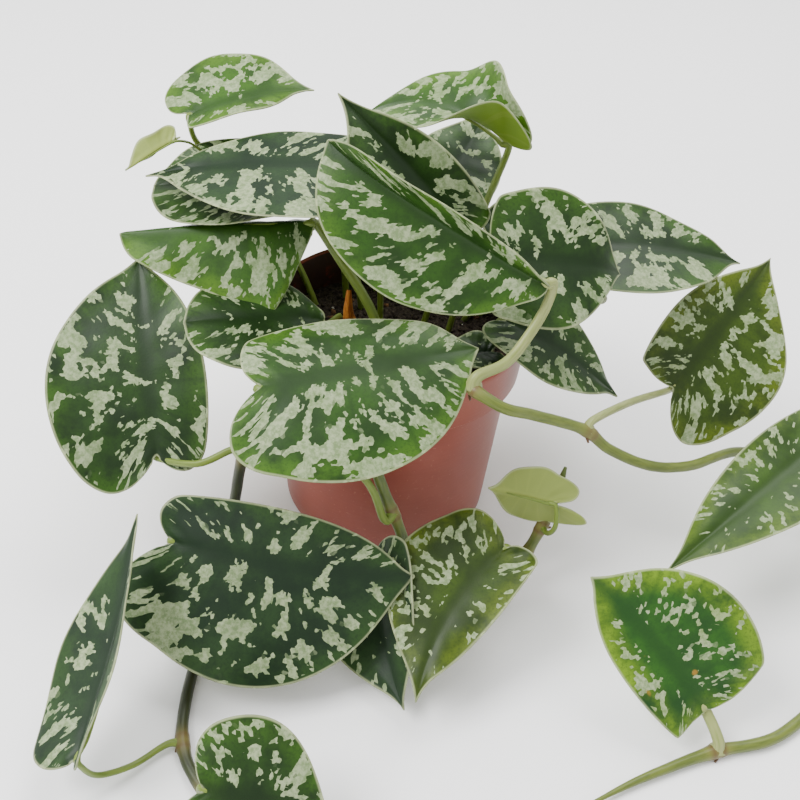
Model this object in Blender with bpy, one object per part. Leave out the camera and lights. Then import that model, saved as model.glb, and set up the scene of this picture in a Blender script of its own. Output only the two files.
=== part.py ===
"""Potted satin pothos: a tapered nursery pot of soil, three trailing vines and a crown of heart leaves.

The axes are +X to the right, +Y to the back and +Z up, with the origin at the middle of the pot's underside.
Every length below is in millimetres and is turned into metres where a mesh is made.
"""

import math
from dataclasses import dataclass, field

import bmesh
import bpy
from mathutils import Vector

MM = 0.001
GAP = 0.4

POT_SIDES = 40
POT_HEIGHT = 107.0
RIM_RADIUS = 60.0
BASE_RADIUS = 50.5
RIM_LIP = 2.4
COLLAR_FOOT = 83.0
COLLAR_RADIUS = 58.2
SHOULDER_RADIUS = 54.5
FOOT_BEVEL = 1.5
WALL = 1.6
FLOOR_THICKNESS = 2.6
DRAIN_HOLES = 6
DRAIN_RADIUS = 4.0
DRAIN_RING_RADIUS = 36.4
DRAIN_SIDES = 12

SOIL_EDGE_HEIGHT = 88.0
SOIL_CROWN_HEIGHT = 92.0

BLADE_THICKNESS = 0.9
BLADE_ROWS = 7
BLADE_COLUMNS = 2
FUNNEL_REACH = 0.45
PETIOLE_RADIUS = 1.7
PETIOLE_SIDES = 6
VINE_RADIUS = 2.4
VINE_SIDES = 7
VINE_STEPS = 3
VINE_TIP_SHARE = 0.35
VINE_TAPER_RINGS = 6
SHEATH_RADIUS = 2.2
SHEATH_TIP_SHARE = 0.25
SHEATH_SIDES = 6

# How the petiole meets the blade, from the blade's base: below and behind it, then under the midrib.
PETIOLE_DROP = 3.0
PETIOLE_BEHIND = 1.8
PETIOLE_UNDER = 1.0
PETIOLE_AHEAD = 2.0
PETIOLE_END = 0.3

# One half of the heart-shaped outline, in blade lengths along the midrib and blade widths across it.
HALF_OUTLINE = (
    (-0.07, 0.08), (-0.12, 0.17), (-0.12, 0.28), (-0.05, 0.375), (0.07, 0.445), (0.22, 0.49), (0.38, 0.49),
    (0.53, 0.435), (0.67, 0.345), (0.79, 0.23), (0.89, 0.12), (0.955, 0.045), (1.0, 0.0),
)

COLOURS = {
    "terracotta_plastic": (0.20, 0.055, 0.03, 0.45),
    "dark_soil": (0.03, 0.02, 0.013, 0.95),
    "green_stem": (0.12, 0.16, 0.05, 0.55),
    "leaf_green": (0.05, 0.12, 0.03, 0.5),
    "dried_sheath": (0.30, 0.13, 0.03, 0.8),
}


@dataclass(frozen=True)
class Leaf:
    """One leaf: where its blade starts and ends, which way it faces, and how its petiole reaches it."""

    name: str
    base: tuple
    tip: tuple
    face: tuple
    width: float
    root: tuple
    bends: tuple = ()
    shape: dict = field(default_factory=dict)


# shape: fold, cup and funnel are degrees; arch, hook and sweep are blade lengths; the rest are ratios.
LEAVES = (
    Leaf("vine_left_leaf_1", (-97, -65, 66), (-115, -2, 124), (0, -0.66, 0.75), 69, (-64, -67, 75),
         ((-78, -71, 69),), dict(cup=8, arch=0.04, skew=0.26)),
    Leaf("vine_left_leaf_2", (-82, -104, 57), (17, -102, 46), (0, -0.7, 0.72), 74, (-71, -81, 27),
         ((-82, -90, 42),), dict(cup=-6, arch=0.05, skew=-0.3, sweep=-0.03)),
    Leaf("vine_left_leaf_3", (-101, -184, 26), (-93, -108, 76), (-0.7, -0.5, 0.5), 36, (-75, -162, 4),
         ((-85, -172, 5), (-95, -181, 12)), dict(fold=16, arch=-0.04, lobe=0.4, skew=0.4)),
    Leaf("vine_left_leaf_4", (-52, -193, 31), (-5, -194, 19), (0, -0.63, 0.78), 52, (-56, -182, 6),
         ((-55, -188, 16),), dict(arch=0.03, skew=0.1)),
    Leaf("vine_front_leaf_1", (-50, -73, 116), (35, -40, 119), (-0.04, -0.34, 0.94), 74, (2, -83, 58),
         ((-8, -81, 76), (-30, -76, 98), (-43, -73, 108)),
         dict(cup=-22, arch=0.05, skew=-0.2, sweep=-0.03, lobe=0.9)),
    Leaf("vine_front_leaf_2", (4, -89, 36), (17, -141, 9), (-0.4, -0.85, 0.35), 50, (10, -87, 27),
         (), dict(fold=8, skew=-0.2, sweep=-0.05, lobe=0.6)),
    Leaf("vine_front_leaf_3", (54, -87, 52), (21, -144, 20), (-0.3, -0.69, 0.67), 47, (65, -72, 28),
         ((62, -80, 40),), dict(fold=8, arch=0.03, skew=-0.35, sweep=-0.06, lobe=0.35)),
    Leaf("vine_front_leaf_4", (75, -61, 54), (46, -60, 59), (0, 0.93, -0.37), 28, (75, -66, 40),
         ((77, -68, 47),), dict(fold=20)),
    Leaf("vine_right_leaf_1", (59, -38, 150), (-34, -12, 189), (-0.33, -0.94, 0.02), 52, (35, -57, 118),
         ((47, -50, 122), (58, -38, 136)),
         dict(fold=30, arch=0.02, skew=0.4, lobe=0.3, lean=0.7, hook=0.05)),
    Leaf("vine_right_leaf_2", (134, 5, 72), (178, 54, 119), (0.11, -0.82, 0.57), 68, (88, -43, 88),
         ((108, -22, 83),), dict(fold=8, arch=0.03, skew=-0.25, lobe=0.6)),
    Leaf("vine_right_leaf_3", (211, -7, 66), (125, -84, 46), (-0.25, -0.32, 0.92), 44, (211, 8, 32),
         ((213, 4, 48),), dict(fold=10, skew=0.1)),
    Leaf("vine_right_leaf_4", (139, -134, 17), (88, -101, 54), (0.11, -0.82, 0.57), 58, (145, -141, 8),
         (), dict(fold=6, arch=0.03, skew=-0.25, sweep=-0.04, lobe=0.1, lean=0.85)),
    Leaf("crown_leaf_01", (39, -10, 145), (97, 0, 137), (0, -0.7, 0.72), 62, (24, 8, 92),
         ((30, 6, 125),), dict(fold=6, arch=0.08, hook=0.1, lobe=0.4, lean=0.8)),
    Leaf("crown_leaf_02", (79, 34, 129), (164, 55, 116), (-0.04, -0.34, 0.94), 56, (32, 20, 91.5),
         ((53, 20, 120),), dict(fold=6, arch=0.05, skew=-0.1)),
    Leaf("crown_leaf_03", (47, -14, 116), (105, -10, 76), (0.06, -0.33, 0.94), 42, (46, 8, 91),
         ((51, 0, 110),), dict(fold=5, arch=0.05)),
    Leaf("crown_leaf_04", (26, 3, 146), (-31, 13, 200), (-0.13, -0.61, 0.78), 56, (12, 8, 92.5),
         ((19, 10, 124),), dict(fold=24, arch=0.04, lobe=0.4, skew=0.3)),
    Leaf("crown_leaf_05", (-27, 9, 170), (-115, 20, 152), (-0.05, -0.23, 0.97), 59, (-8, 12, 92.5),
         ((-12, 14, 140),), dict(fold=6, arch=0.05, skew=0.3, lobe=0.5, lean=1.2)),
    Leaf("crown_leaf_06", (-34, 24, 152), (-115, 30, 142), (-0.07, -0.3, 0.95), 56, (-18, 22, 92),
         ((-24, 24, 128),), dict(fold=8, arch=0.03, skew=0.1, lobe=0.4)),
    Leaf("crown_leaf_07", (-39, 6, 145), (-123, 0, 134), (0, -0.18, 0.98), 64, (-4, -14, 92.5),
         ((-12, -8, 112), (-28, 1, 132)), dict(fold=-36, arch=0.02, skew=0.1, lobe=0.2)),
    Leaf("crown_leaf_08", (-31, -16, 112), (-90, -28, 113), (-0.05, -0.3, 0.95), 45, (-30, 4, 92),
         ((-26, -2, 102),), dict(fold=6, arch=0.01, skew=0.1, lobe=0.5)),
    Leaf("crown_leaf_09", (-99, 44, 172), (-45, 52, 184), (-0.05, -0.27, 0.96), 42, (-26, 30, 91.5),
         ((-30, 31, 118), (-48, 52, 144), (-93, 50, 151)), dict(fold=5, arch=0.06, skew=-0.4, lobe=0.6)),
    Leaf("crown_leaf_10", (-105, 30, 165), (-124, 17, 155), (0.17, 0.92, 0.35), 16, (-95, 43, 154),
         ((-99, 38, 160),), dict(fold=50)),
    Leaf("crown_leaf_11", (40, 29, 178), (-22, 60, 172), (-0.05, -0.2, 0.98), 48, (18, 26, 91.5),
         ((29, 28, 125), (37, 31, 154)), dict(fold=8, arch=0.2, funnel=65)),
    Leaf("crown_leaf_12", (15, 44, 140), (34, 89, 165), (0, -0.63, 0.78), 44, (4, 36, 91.5),
         ((8, 42, 120),), dict(fold=8)),
    Leaf("crown_leaf_13", (54, 40, 129), (32, 34, 137), (0, -0.63, 0.78), 30, (20, 38, 91.5),
         ((30, 41, 118),), dict(fold=8)),
    Leaf("crown_leaf_14", (44, -13, 98), (21, -25, 100), (-0.05, -0.23, 0.97), 24, (42, -4, 91),
         (), dict(fold=8)),
    Leaf("crown_leaf_15", (-21, 55, 119), (-60, 112, 72), (-0.3, 0.5, 0.8), 60, (-12, 40, 91),
         ((-16, 44, 112),), dict(fold=6, arch=0.06, skew=0.1)),
    Leaf("crown_leaf_16", (14, 60, 124), (26, 124, 78), (0.1, 0.55, 0.83), 62, (14, 45, 90.5),
         ((14, 50, 112),), dict(fold=6, arch=0.06)),
    Leaf("crown_leaf_17", (59, 42, 114), (103, 90, 58), (0.5, 0.4, 0.77), 56, (40, 28, 91),
         ((47, 34, 111.5),), dict(fold=6, arch=0.06, skew=-0.1)),
    Leaf("crown_leaf_18", (-60, 32, 113), (-114, 66, 66), (-0.45, 0.3, 0.85), 56, (-40, 22, 91),
         ((-50, 27, 111),), dict(fold=6, arch=0.06)),
)

VINES = {
    "vine_left": (
        (-14, -22, 92), (-20, -33, 104), (-32, -46, 111), (-43, -56, 108), (-52, -63, 94), (-59, -67, 74),
        (-63, -70, 50), (-66, -78, 26), (-71, -94, 8), (-72, -116, 3), (-72, -140, 3), (-69, -160, 3),
        (-60, -175, 3), (-44, -188, 3), (-24, -194, 3),
    ),
    "vine_front": (
        (4, -28, 92), (4, -42, 104), (2, -56, 110.5), (-1, -66, 108), (-4, -72, 97), (-4, -75, 84),
        (2, -77, 66), (9, -80, 50), (15, -82, 32), (22, -84, 14), (32, -86, 5), (44, -84, 3), (56, -76, 9),
        (66, -67, 22), (73, -60, 38), (77, -54, 50), (79, -50, 58), (80, -48, 64),
    ),
    "vine_right": (
        (20, -26, 92), (24, -40, 104), (29, -52, 111), (36, -61, 112), (47, -64, 108), (60, -57, 100),
        (84, -47, 86), (98, -45, 74), (119, -40, 62), (141, -29, 54), (171, -7, 46), (205, 6, 28),
        (224, -20, 10), (222, -62, 3), (206, -102, 3), (174, -133, 3), (143, -144, 3), (113, -158, 3),
        (92, -170, 3),
    ),
}

SHEATH = ((-20, -3, 93), (-21, -4, 101), (-22, -5, 108), (-22, -5, 119))


def clear_scene():
    for old in list(bpy.data.objects):
        bpy.data.objects.remove(old, do_unlink=True)


def material(name):
    """One Principled material from the colour table."""
    found = bpy.data.materials.get(name)
    if found:
        return found
    made = bpy.data.materials.new(name)
    made.use_nodes = True
    shader = made.node_tree.nodes["Principled BSDF"]
    red, green, blue, rough = COLOURS[name]
    shader.inputs["Base Color"].default_value = (red, green, blue, 1)
    shader.inputs["Roughness"].default_value = rough
    shader.inputs["Metallic"].default_value = 0
    return made


def add_object(name, mesh_builder, finish, helper=False):
    """Put a bmesh, built in millimetres, in the scene as one smooth-shaded object."""
    for vertex in mesh_builder.verts:
        vertex.co *= MM
    mesh = bpy.data.meshes.new(name)
    mesh_builder.to_mesh(mesh)
    mesh_builder.free()
    mesh.shade_smooth()
    mesh.set_sharp_from_angle(angle=math.radians(40))
    made = bpy.data.objects.new(name, mesh)
    made.data.materials.append(material(finish))
    bpy.context.collection.objects.link(made)
    if helper:
        made.hide_render = True
        made.display_type = "WIRE"
    return made


def turned(profile, sides):
    """A closed body turned about Z from a profile that starts and ends on the axis."""
    body = bmesh.new()
    rings = []
    for radius, height in profile:
        if radius == 0:
            rings.append([body.verts.new((0, 0, height))])
            continue
        turns = (2 * math.pi * k / sides for k in range(sides))
        rings.append([body.verts.new((radius * math.cos(a), radius * math.sin(a), height)) for a in turns])
    for low, high in zip(rings, rings[1:]):
        for k in range(sides):
            following = (k + 1) % sides
            corners = [low[k % len(low)], low[following % len(low)], high[following % len(high)],
                       high[k % len(high)]]
            body.faces.new(list(dict.fromkeys(corners)))
    bmesh.ops.recalc_face_normals(body, faces=body.faces)
    return body


def smooth_route(points, steps):
    """Points along a Catmull-Rom curve through the given points."""
    points = [Vector(p) for p in points]
    padded = [2 * points[0] - points[1]] + points + [2 * points[-1] - points[-2]]
    route = []
    for a, b, c, d in zip(padded, padded[1:], padded[2:], padded[3:]):
        for k in range(steps):
            t = k / steps
            route.append(0.5 * (2 * b + (c - a) * t + (2 * a - 5 * b + 4 * c - d) * t * t
                                + (3 * b - 3 * c + d - a) * t ** 3))
    return route + [points[-1]]


def tube(route, radii, sides):
    """A closed round body along a route, with one radius for each of its points."""
    body = bmesh.new()
    ahead = (route[1] - route[0]).normalized()
    side = ahead.orthogonal().normalized()
    rings = []
    for k, point in enumerate(route):
        along = (route[min(k + 1, len(route) - 1)] - route[max(k - 1, 0)]).normalized()
        side = (side - along * side.dot(along)).normalized()
        across = along.cross(side)
        turns = (2 * math.pi * n / sides for n in range(sides))
        rings.append([body.verts.new(point + radii[k] * (side * math.cos(a) + across * math.sin(a)))
                      for a in turns])
    for low, high in zip(rings, rings[1:]):
        for n in range(sides):
            m = (n + 1) % sides
            body.faces.new((low[n], low[m], high[m], high[n]))
    body.faces.new(list(reversed(rings[0])))
    body.faces.new(rings[-1])
    bmesh.ops.recalc_face_normals(body, faces=body.faces)
    return body


def make_pot():
    profile = (
        (0, 0), (BASE_RADIUS - FOOT_BEVEL, 0), (BASE_RADIUS, FOOT_BEVEL), (SHOULDER_RADIUS, COLLAR_FOOT),
        (COLLAR_RADIUS, COLLAR_FOOT + 1), (RIM_RADIUS - 0.6, POT_HEIGHT - 3), (RIM_RADIUS, POT_HEIGHT - 2),
        (RIM_RADIUS, POT_HEIGHT), (RIM_RADIUS - RIM_LIP, POT_HEIGHT),
        (COLLAR_RADIUS - WALL, COLLAR_FOOT + 3), (SHOULDER_RADIUS - WALL, COLLAR_FOOT),
        (BASE_RADIUS - WALL, FLOOR_THICKNESS), (0, FLOOR_THICKNESS),
    )
    pot = add_object("pot", turned(profile, POT_SIDES), "terracotta_plastic")
    holes = bmesh.new()
    for k in range(DRAIN_HOLES):
        angle = 2 * math.pi * (k + 0.25) / DRAIN_HOLES
        place = Vector((math.cos(angle), math.sin(angle), 0)) * DRAIN_RING_RADIUS
        made = bmesh.ops.create_cone(holes, cap_ends=True, segments=DRAIN_SIDES, radius1=DRAIN_RADIUS,
                                     radius2=DRAIN_RADIUS, depth=4 * FLOOR_THICKNESS)
        bmesh.ops.translate(holes, verts=made["verts"], vec=place)
    cutter = add_object("drain_cutter", holes, "terracotta_plastic", helper=True)
    drill = pot.modifiers.new("drain_holes", "BOOLEAN")
    drill.operation = "DIFFERENCE"
    drill.solver = "EXACT"
    drill.object = cutter


def soil_levels():
    """The mound's top, as distances from its middle and heights, from the middle out."""
    collar = COLLAR_RADIUS - WALL - GAP
    return ((0, SOIL_CROWN_HEIGHT), (collar * 0.5, SOIL_CROWN_HEIGHT - 0.8),
            (collar * 0.8, SOIL_EDGE_HEIGHT + 1.8), (collar, SOIL_EDGE_HEIGHT))


def make_soil():
    levels = soil_levels()
    profile = (
        (0, FLOOR_THICKNESS + GAP), (BASE_RADIUS - WALL - GAP, FLOOR_THICKNESS + GAP),
        (SHOULDER_RADIUS - WALL - GAP, COLLAR_FOOT), (levels[-1][0], COLLAR_FOOT + 3), *reversed(levels),
    )
    add_object("soil", turned(profile, POT_SIDES), "dark_soil")


def soil_height(x, y):
    """Height of the soil's mound at one place."""
    levels = soil_levels()
    radius = math.hypot(x, y)
    for (near, high), (far, low) in zip(levels, levels[1:]):
        if radius <= far:
            return high + (low - high) * (radius - near) / (far - near)
    return SOIL_EDGE_HEIGHT


def make_vine(name, points):
    points = [Vector(p) for p in points]
    points[0].z = soil_height(points[0].x, points[0].y) + 5 * GAP
    route = smooth_route(points, VINE_STEPS)
    last = len(route) - 1
    radii = [VINE_RADIUS * min(1, VINE_TIP_SHARE + (1 - VINE_TIP_SHARE) * (last - k) / VINE_TAPER_RINGS)
             for k in range(last + 1)]
    add_object(name, tube(route, radii, VINE_SIDES), "green_stem")


def outline_point(t, lobe, lean):
    """A point on the half outline, t from 0 beside the petiole to 1 at the tip."""
    place = t * (len(HALF_OUTLINE) - 1)
    k = min(int(place), len(HALF_OUTLINE) - 2)
    part = place - k
    x = HALF_OUTLINE[k][0] * (1 - part) + HALF_OUTLINE[k + 1][0] * part
    y = HALF_OUTLINE[k][1] * (1 - part) + HALF_OUTLINE[k + 1][1] * part
    return (x ** lean if x > 0 else x * lobe), y


def blade_axes(leaf):
    along = Vector(leaf.tip) - Vector(leaf.base)
    length = along.length
    along.normalize()
    up = Vector(leaf.face)
    up = (up - along * up.dot(along)).normalized()
    return length, along, up, up.cross(along)


def blade_point(leaf, t, r, side):
    """A point of the blade's middle surface: t runs down the outline, r from midrib to margin."""
    length, along, up, across = blade_axes(leaf)
    shape = leaf.shape
    skew = shape.get("skew", 0) * side
    lobe = shape.get("lobe", 1) * (1 + 1.5 * skew)
    edge_x, edge_y = outline_point(t, lobe, shape.get("lean", 1))
    rib = t ** 1.5
    bow_x = rib + 0.35 * (edge_x - rib)
    x = (1 - r) ** 2 * rib + 2 * r * (1 - r) * bow_x + r * r * edge_x
    out = (2 * r * (1 - r) * 0.6 + r * r) * edge_y * leaf.width * (1 + skew)
    funnel = shape.get("funnel", 0) * max(0, 1 - max(x, 0) / FUNNEL_REACH) ** 1.5
    fold = math.radians(shape.get("fold", 0) + funnel)
    bend = math.radians(shape.get("cup", 0)) / (leaf.width / 2) or 1e-5
    turned_to = fold + bend * out
    flat = (math.sin(turned_to) - math.sin(fold)) / bend
    rise = (math.cos(fold) - math.cos(turned_to)) / bend
    inside = min(max(x, 0), 1)
    flat = side * flat + shape.get("sweep", 0) * length * 4 * inside * (1 - inside)
    rise += length * shape.get("arch", 0) * 4 * x * (1 - x)
    rise -= length * shape.get("hook", 0) * max(0, (x - 0.7) / 0.3) ** 2
    return Vector(leaf.base) + along * (x * length) + across * flat + up * rise


def blade_surface(leaf):
    """The blade's middle surface: both halves share the midrib and end at the tip."""
    surface = bmesh.new()
    rib = [surface.verts.new(blade_point(leaf, k / BLADE_ROWS, 0, 1)) for k in range(BLADE_ROWS + 1)]
    for side in (1, -1):
        rows = []
        for k in range(BLADE_ROWS):
            out = [surface.verts.new(blade_point(leaf, k / BLADE_ROWS, n / BLADE_COLUMNS, side))
                   for n in range(1, BLADE_COLUMNS + 1)]
            rows.append([rib[k]] + out)
        rows.append([rib[-1]] * (BLADE_COLUMNS + 1))
        for low, high in zip(rows, rows[1:]):
            for n in range(BLADE_COLUMNS):
                corners = [low[n], high[n], high[n + 1], low[n + 1]]
                if side > 0:
                    corners.reverse()
                surface.faces.new(list(dict.fromkeys(corners)))
    return surface


def petiole_route(leaf):
    _, along, up, _ = blade_axes(leaf)
    base = Vector(leaf.base)
    points = [Vector(leaf.root)] + [Vector(p) for p in leaf.bends]
    points.append(base - up * PETIOLE_DROP - along * PETIOLE_BEHIND)
    points.append(base - up * PETIOLE_UNDER + along * PETIOLE_AHEAD)
    points.append(blade_point(leaf, PETIOLE_END, 0, 1) - up * BLADE_THICKNESS)
    return smooth_route(points, 2)


def make_leaf(leaf):
    blade = add_object(leaf.name, blade_surface(leaf), "leaf_green")
    skin = blade.modifiers.new("thickness", "SOLIDIFY")
    skin.thickness = BLADE_THICKNESS * MM
    skin.offset = 0
    route = petiole_route(leaf)
    slim = min(1, leaf.width / 40)
    radii = [PETIOLE_RADIUS * slim * (1.1 - 0.4 * k / (len(route) - 1)) for k in range(len(route))]
    stalk = add_object(leaf.name + "_petiole", tube(route, radii, PETIOLE_SIDES), "leaf_green", helper=True)
    join = blade.modifiers.new("petiole", "BOOLEAN")
    join.operation = "UNION"
    join.solver = "EXACT"
    join.object = stalk


def make_sheath():
    route = smooth_route(SHEATH, 3)
    last = len(route) - 1
    radii = [SHEATH_RADIUS * (1 - (1 - SHEATH_TIP_SHARE) * k / last) for k in range(last + 1)]
    add_object("dried_sheath", tube(route, radii, SHEATH_SIDES), "dried_sheath")


def main():
    clear_scene()
    make_pot()
    make_soil()
    for name, points in VINES.items():
        make_vine(name, points)
    make_sheath()
    for leaf in LEAVES:
        make_leaf(leaf)


main()
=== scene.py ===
"""Looks of a potted satin pothos: a nursery pot of soil, three trailing vines and a crown of leaves.

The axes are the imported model's: +X to the right, +Y to the back and +Z up. Lengths are in millimetres, and
MM turns them into metres where the points of a mesh are set.
"""

import logging
import math
import random
from dataclasses import dataclass, field
from enum import Enum
from typing import Sequence

import bpy
from mathutils import Matrix, Vector, noise


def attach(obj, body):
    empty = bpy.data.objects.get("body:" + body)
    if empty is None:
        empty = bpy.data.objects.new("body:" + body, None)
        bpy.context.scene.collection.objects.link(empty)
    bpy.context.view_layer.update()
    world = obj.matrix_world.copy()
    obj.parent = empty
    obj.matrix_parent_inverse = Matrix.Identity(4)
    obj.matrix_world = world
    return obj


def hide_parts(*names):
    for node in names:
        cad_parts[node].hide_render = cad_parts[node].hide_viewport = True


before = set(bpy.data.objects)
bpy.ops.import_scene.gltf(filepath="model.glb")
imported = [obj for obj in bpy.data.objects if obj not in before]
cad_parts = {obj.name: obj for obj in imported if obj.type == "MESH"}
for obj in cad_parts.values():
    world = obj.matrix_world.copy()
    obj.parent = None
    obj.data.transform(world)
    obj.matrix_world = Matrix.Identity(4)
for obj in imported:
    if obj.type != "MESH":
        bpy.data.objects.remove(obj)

MM = 0.001
# Points of a mesh that are nearer than this are merged, in metres.
MERGE_REACH = 1e-6
# The millimetres that one unit of a flat map stands for.
MAP_SPAN = 100
ROOT = "root"
LOG = logging.getLogger("pothos")

Colour = tuple[float, float, float, float]
Place = tuple[float, float, float]


def paint(red: int, green: int, blue: int) -> Colour:
    """Turn an 8-bit display colour into a linear one.

    Args:
        red: Red level, 0 to 255.
        green: Green level, 0 to 255.
        blue: Blue level, 0 to 255.

    Returns:
        The linear colour with full alpha.
    """
    linear = [(level / 255 + 0.055) ** 2.4 / 1.055 ** 2.4 if level > 10 else level / 255 / 12.92
              for level in (red, green, blue)]
    return (linear[0], linear[1], linear[2], 1.0)


def clear_selection() -> None:
    """Leave nothing selected, in object mode."""
    if bpy.context.object and bpy.context.object.mode != "OBJECT":
        bpy.ops.object.mode_set(mode="OBJECT")
    bpy.ops.object.select_all(action="DESELECT")


def only(piece: bpy.types.Object) -> None:
    """Make one piece the only selected and the active one.

    Args:
        piece: The piece.
    """
    clear_selection()
    piece.select_set(True)
    bpy.context.view_layer.objects.active = piece


def apply_modifier(piece: bpy.types.Object, kind: str, **settings: object) -> None:
    """Add a modifier to a piece and apply it.

    Args:
        piece: The piece that takes the modifier.
        kind: The modifier's type.
        **settings: Values set on the modifier first.
    """
    only(piece)
    made = piece.modifiers.new(kind.lower(), kind)
    for name, value in settings.items():
        setattr(made, name, value)
    bpy.ops.object.modifier_apply(modifier=made.name)


def clean_mesh(piece: bpy.types.Object, outward: bool = True) -> None:
    """Merge the points that meet, and turn the faces outwards.

    Args:
        piece: The piece to clean.
        outward: Whether its faces are turned, as on a closed body.
    """
    only(piece)
    bpy.ops.object.mode_set(mode="EDIT")
    bpy.ops.mesh.select_all(action="SELECT")
    bpy.ops.mesh.remove_doubles(threshold=MERGE_REACH)
    if outward:
        bpy.ops.mesh.normals_make_consistent(inside=False)
    bpy.ops.object.mode_set(mode="OBJECT")


def settle(piece: bpy.types.Object, slot: str, *nodes: str) -> bpy.types.Object:
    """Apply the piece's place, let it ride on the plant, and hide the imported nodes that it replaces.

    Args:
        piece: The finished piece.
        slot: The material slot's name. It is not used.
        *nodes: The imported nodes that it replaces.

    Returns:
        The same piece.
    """
    only(piece)
    bpy.ops.object.transform_apply(location=True, rotation=True, scale=True)
    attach(piece, ROOT)
    if nodes:
        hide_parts(*nodes)
    LOG.info("%s: %d faces", piece.name, len(piece.data.polygons))
    return piece


def between_knots(a: float | Vector, b: float | Vector, c: float | Vector, d: float | Vector,
                  t: float) -> float | Vector:
    """Follow a Catmull-Rom curve through four knots, from the second to the third.

    Args:
        a: The knot before the stretch.
        b: The knot where the stretch starts.
        c: The knot where it ends.
        d: The knot after it.
        t: How far along the stretch, 0 to 1.

    Returns:
        The place on the curve.
    """
    square = 2 * a - 5 * b + 4 * c - d
    cube = 3 * b - 3 * c + d - a
    return 0.5 * (2 * b + (c - a) * t + square * t * t + cube * t ** 3)


def smooth_route(points: Sequence[Place | Vector], steps: int) -> list[Vector]:
    """Follow a Catmull-Rom curve through some points.

    Args:
        points: The points that the curve passes.
        steps: How many stretches each gap is divided into.

    Returns:
        The curve's points, the last one included.
    """
    given = [Vector(p) for p in points]
    padded = [2 * given[0] - given[1]] + given + [2 * given[-1] - given[-2]]
    route = []
    for knots in zip(padded, padded[1:], padded[2:], padded[3:]):
        route += [between_knots(*knots, k / steps) for k in range(steps)]
    return route + [given[-1]]


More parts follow.
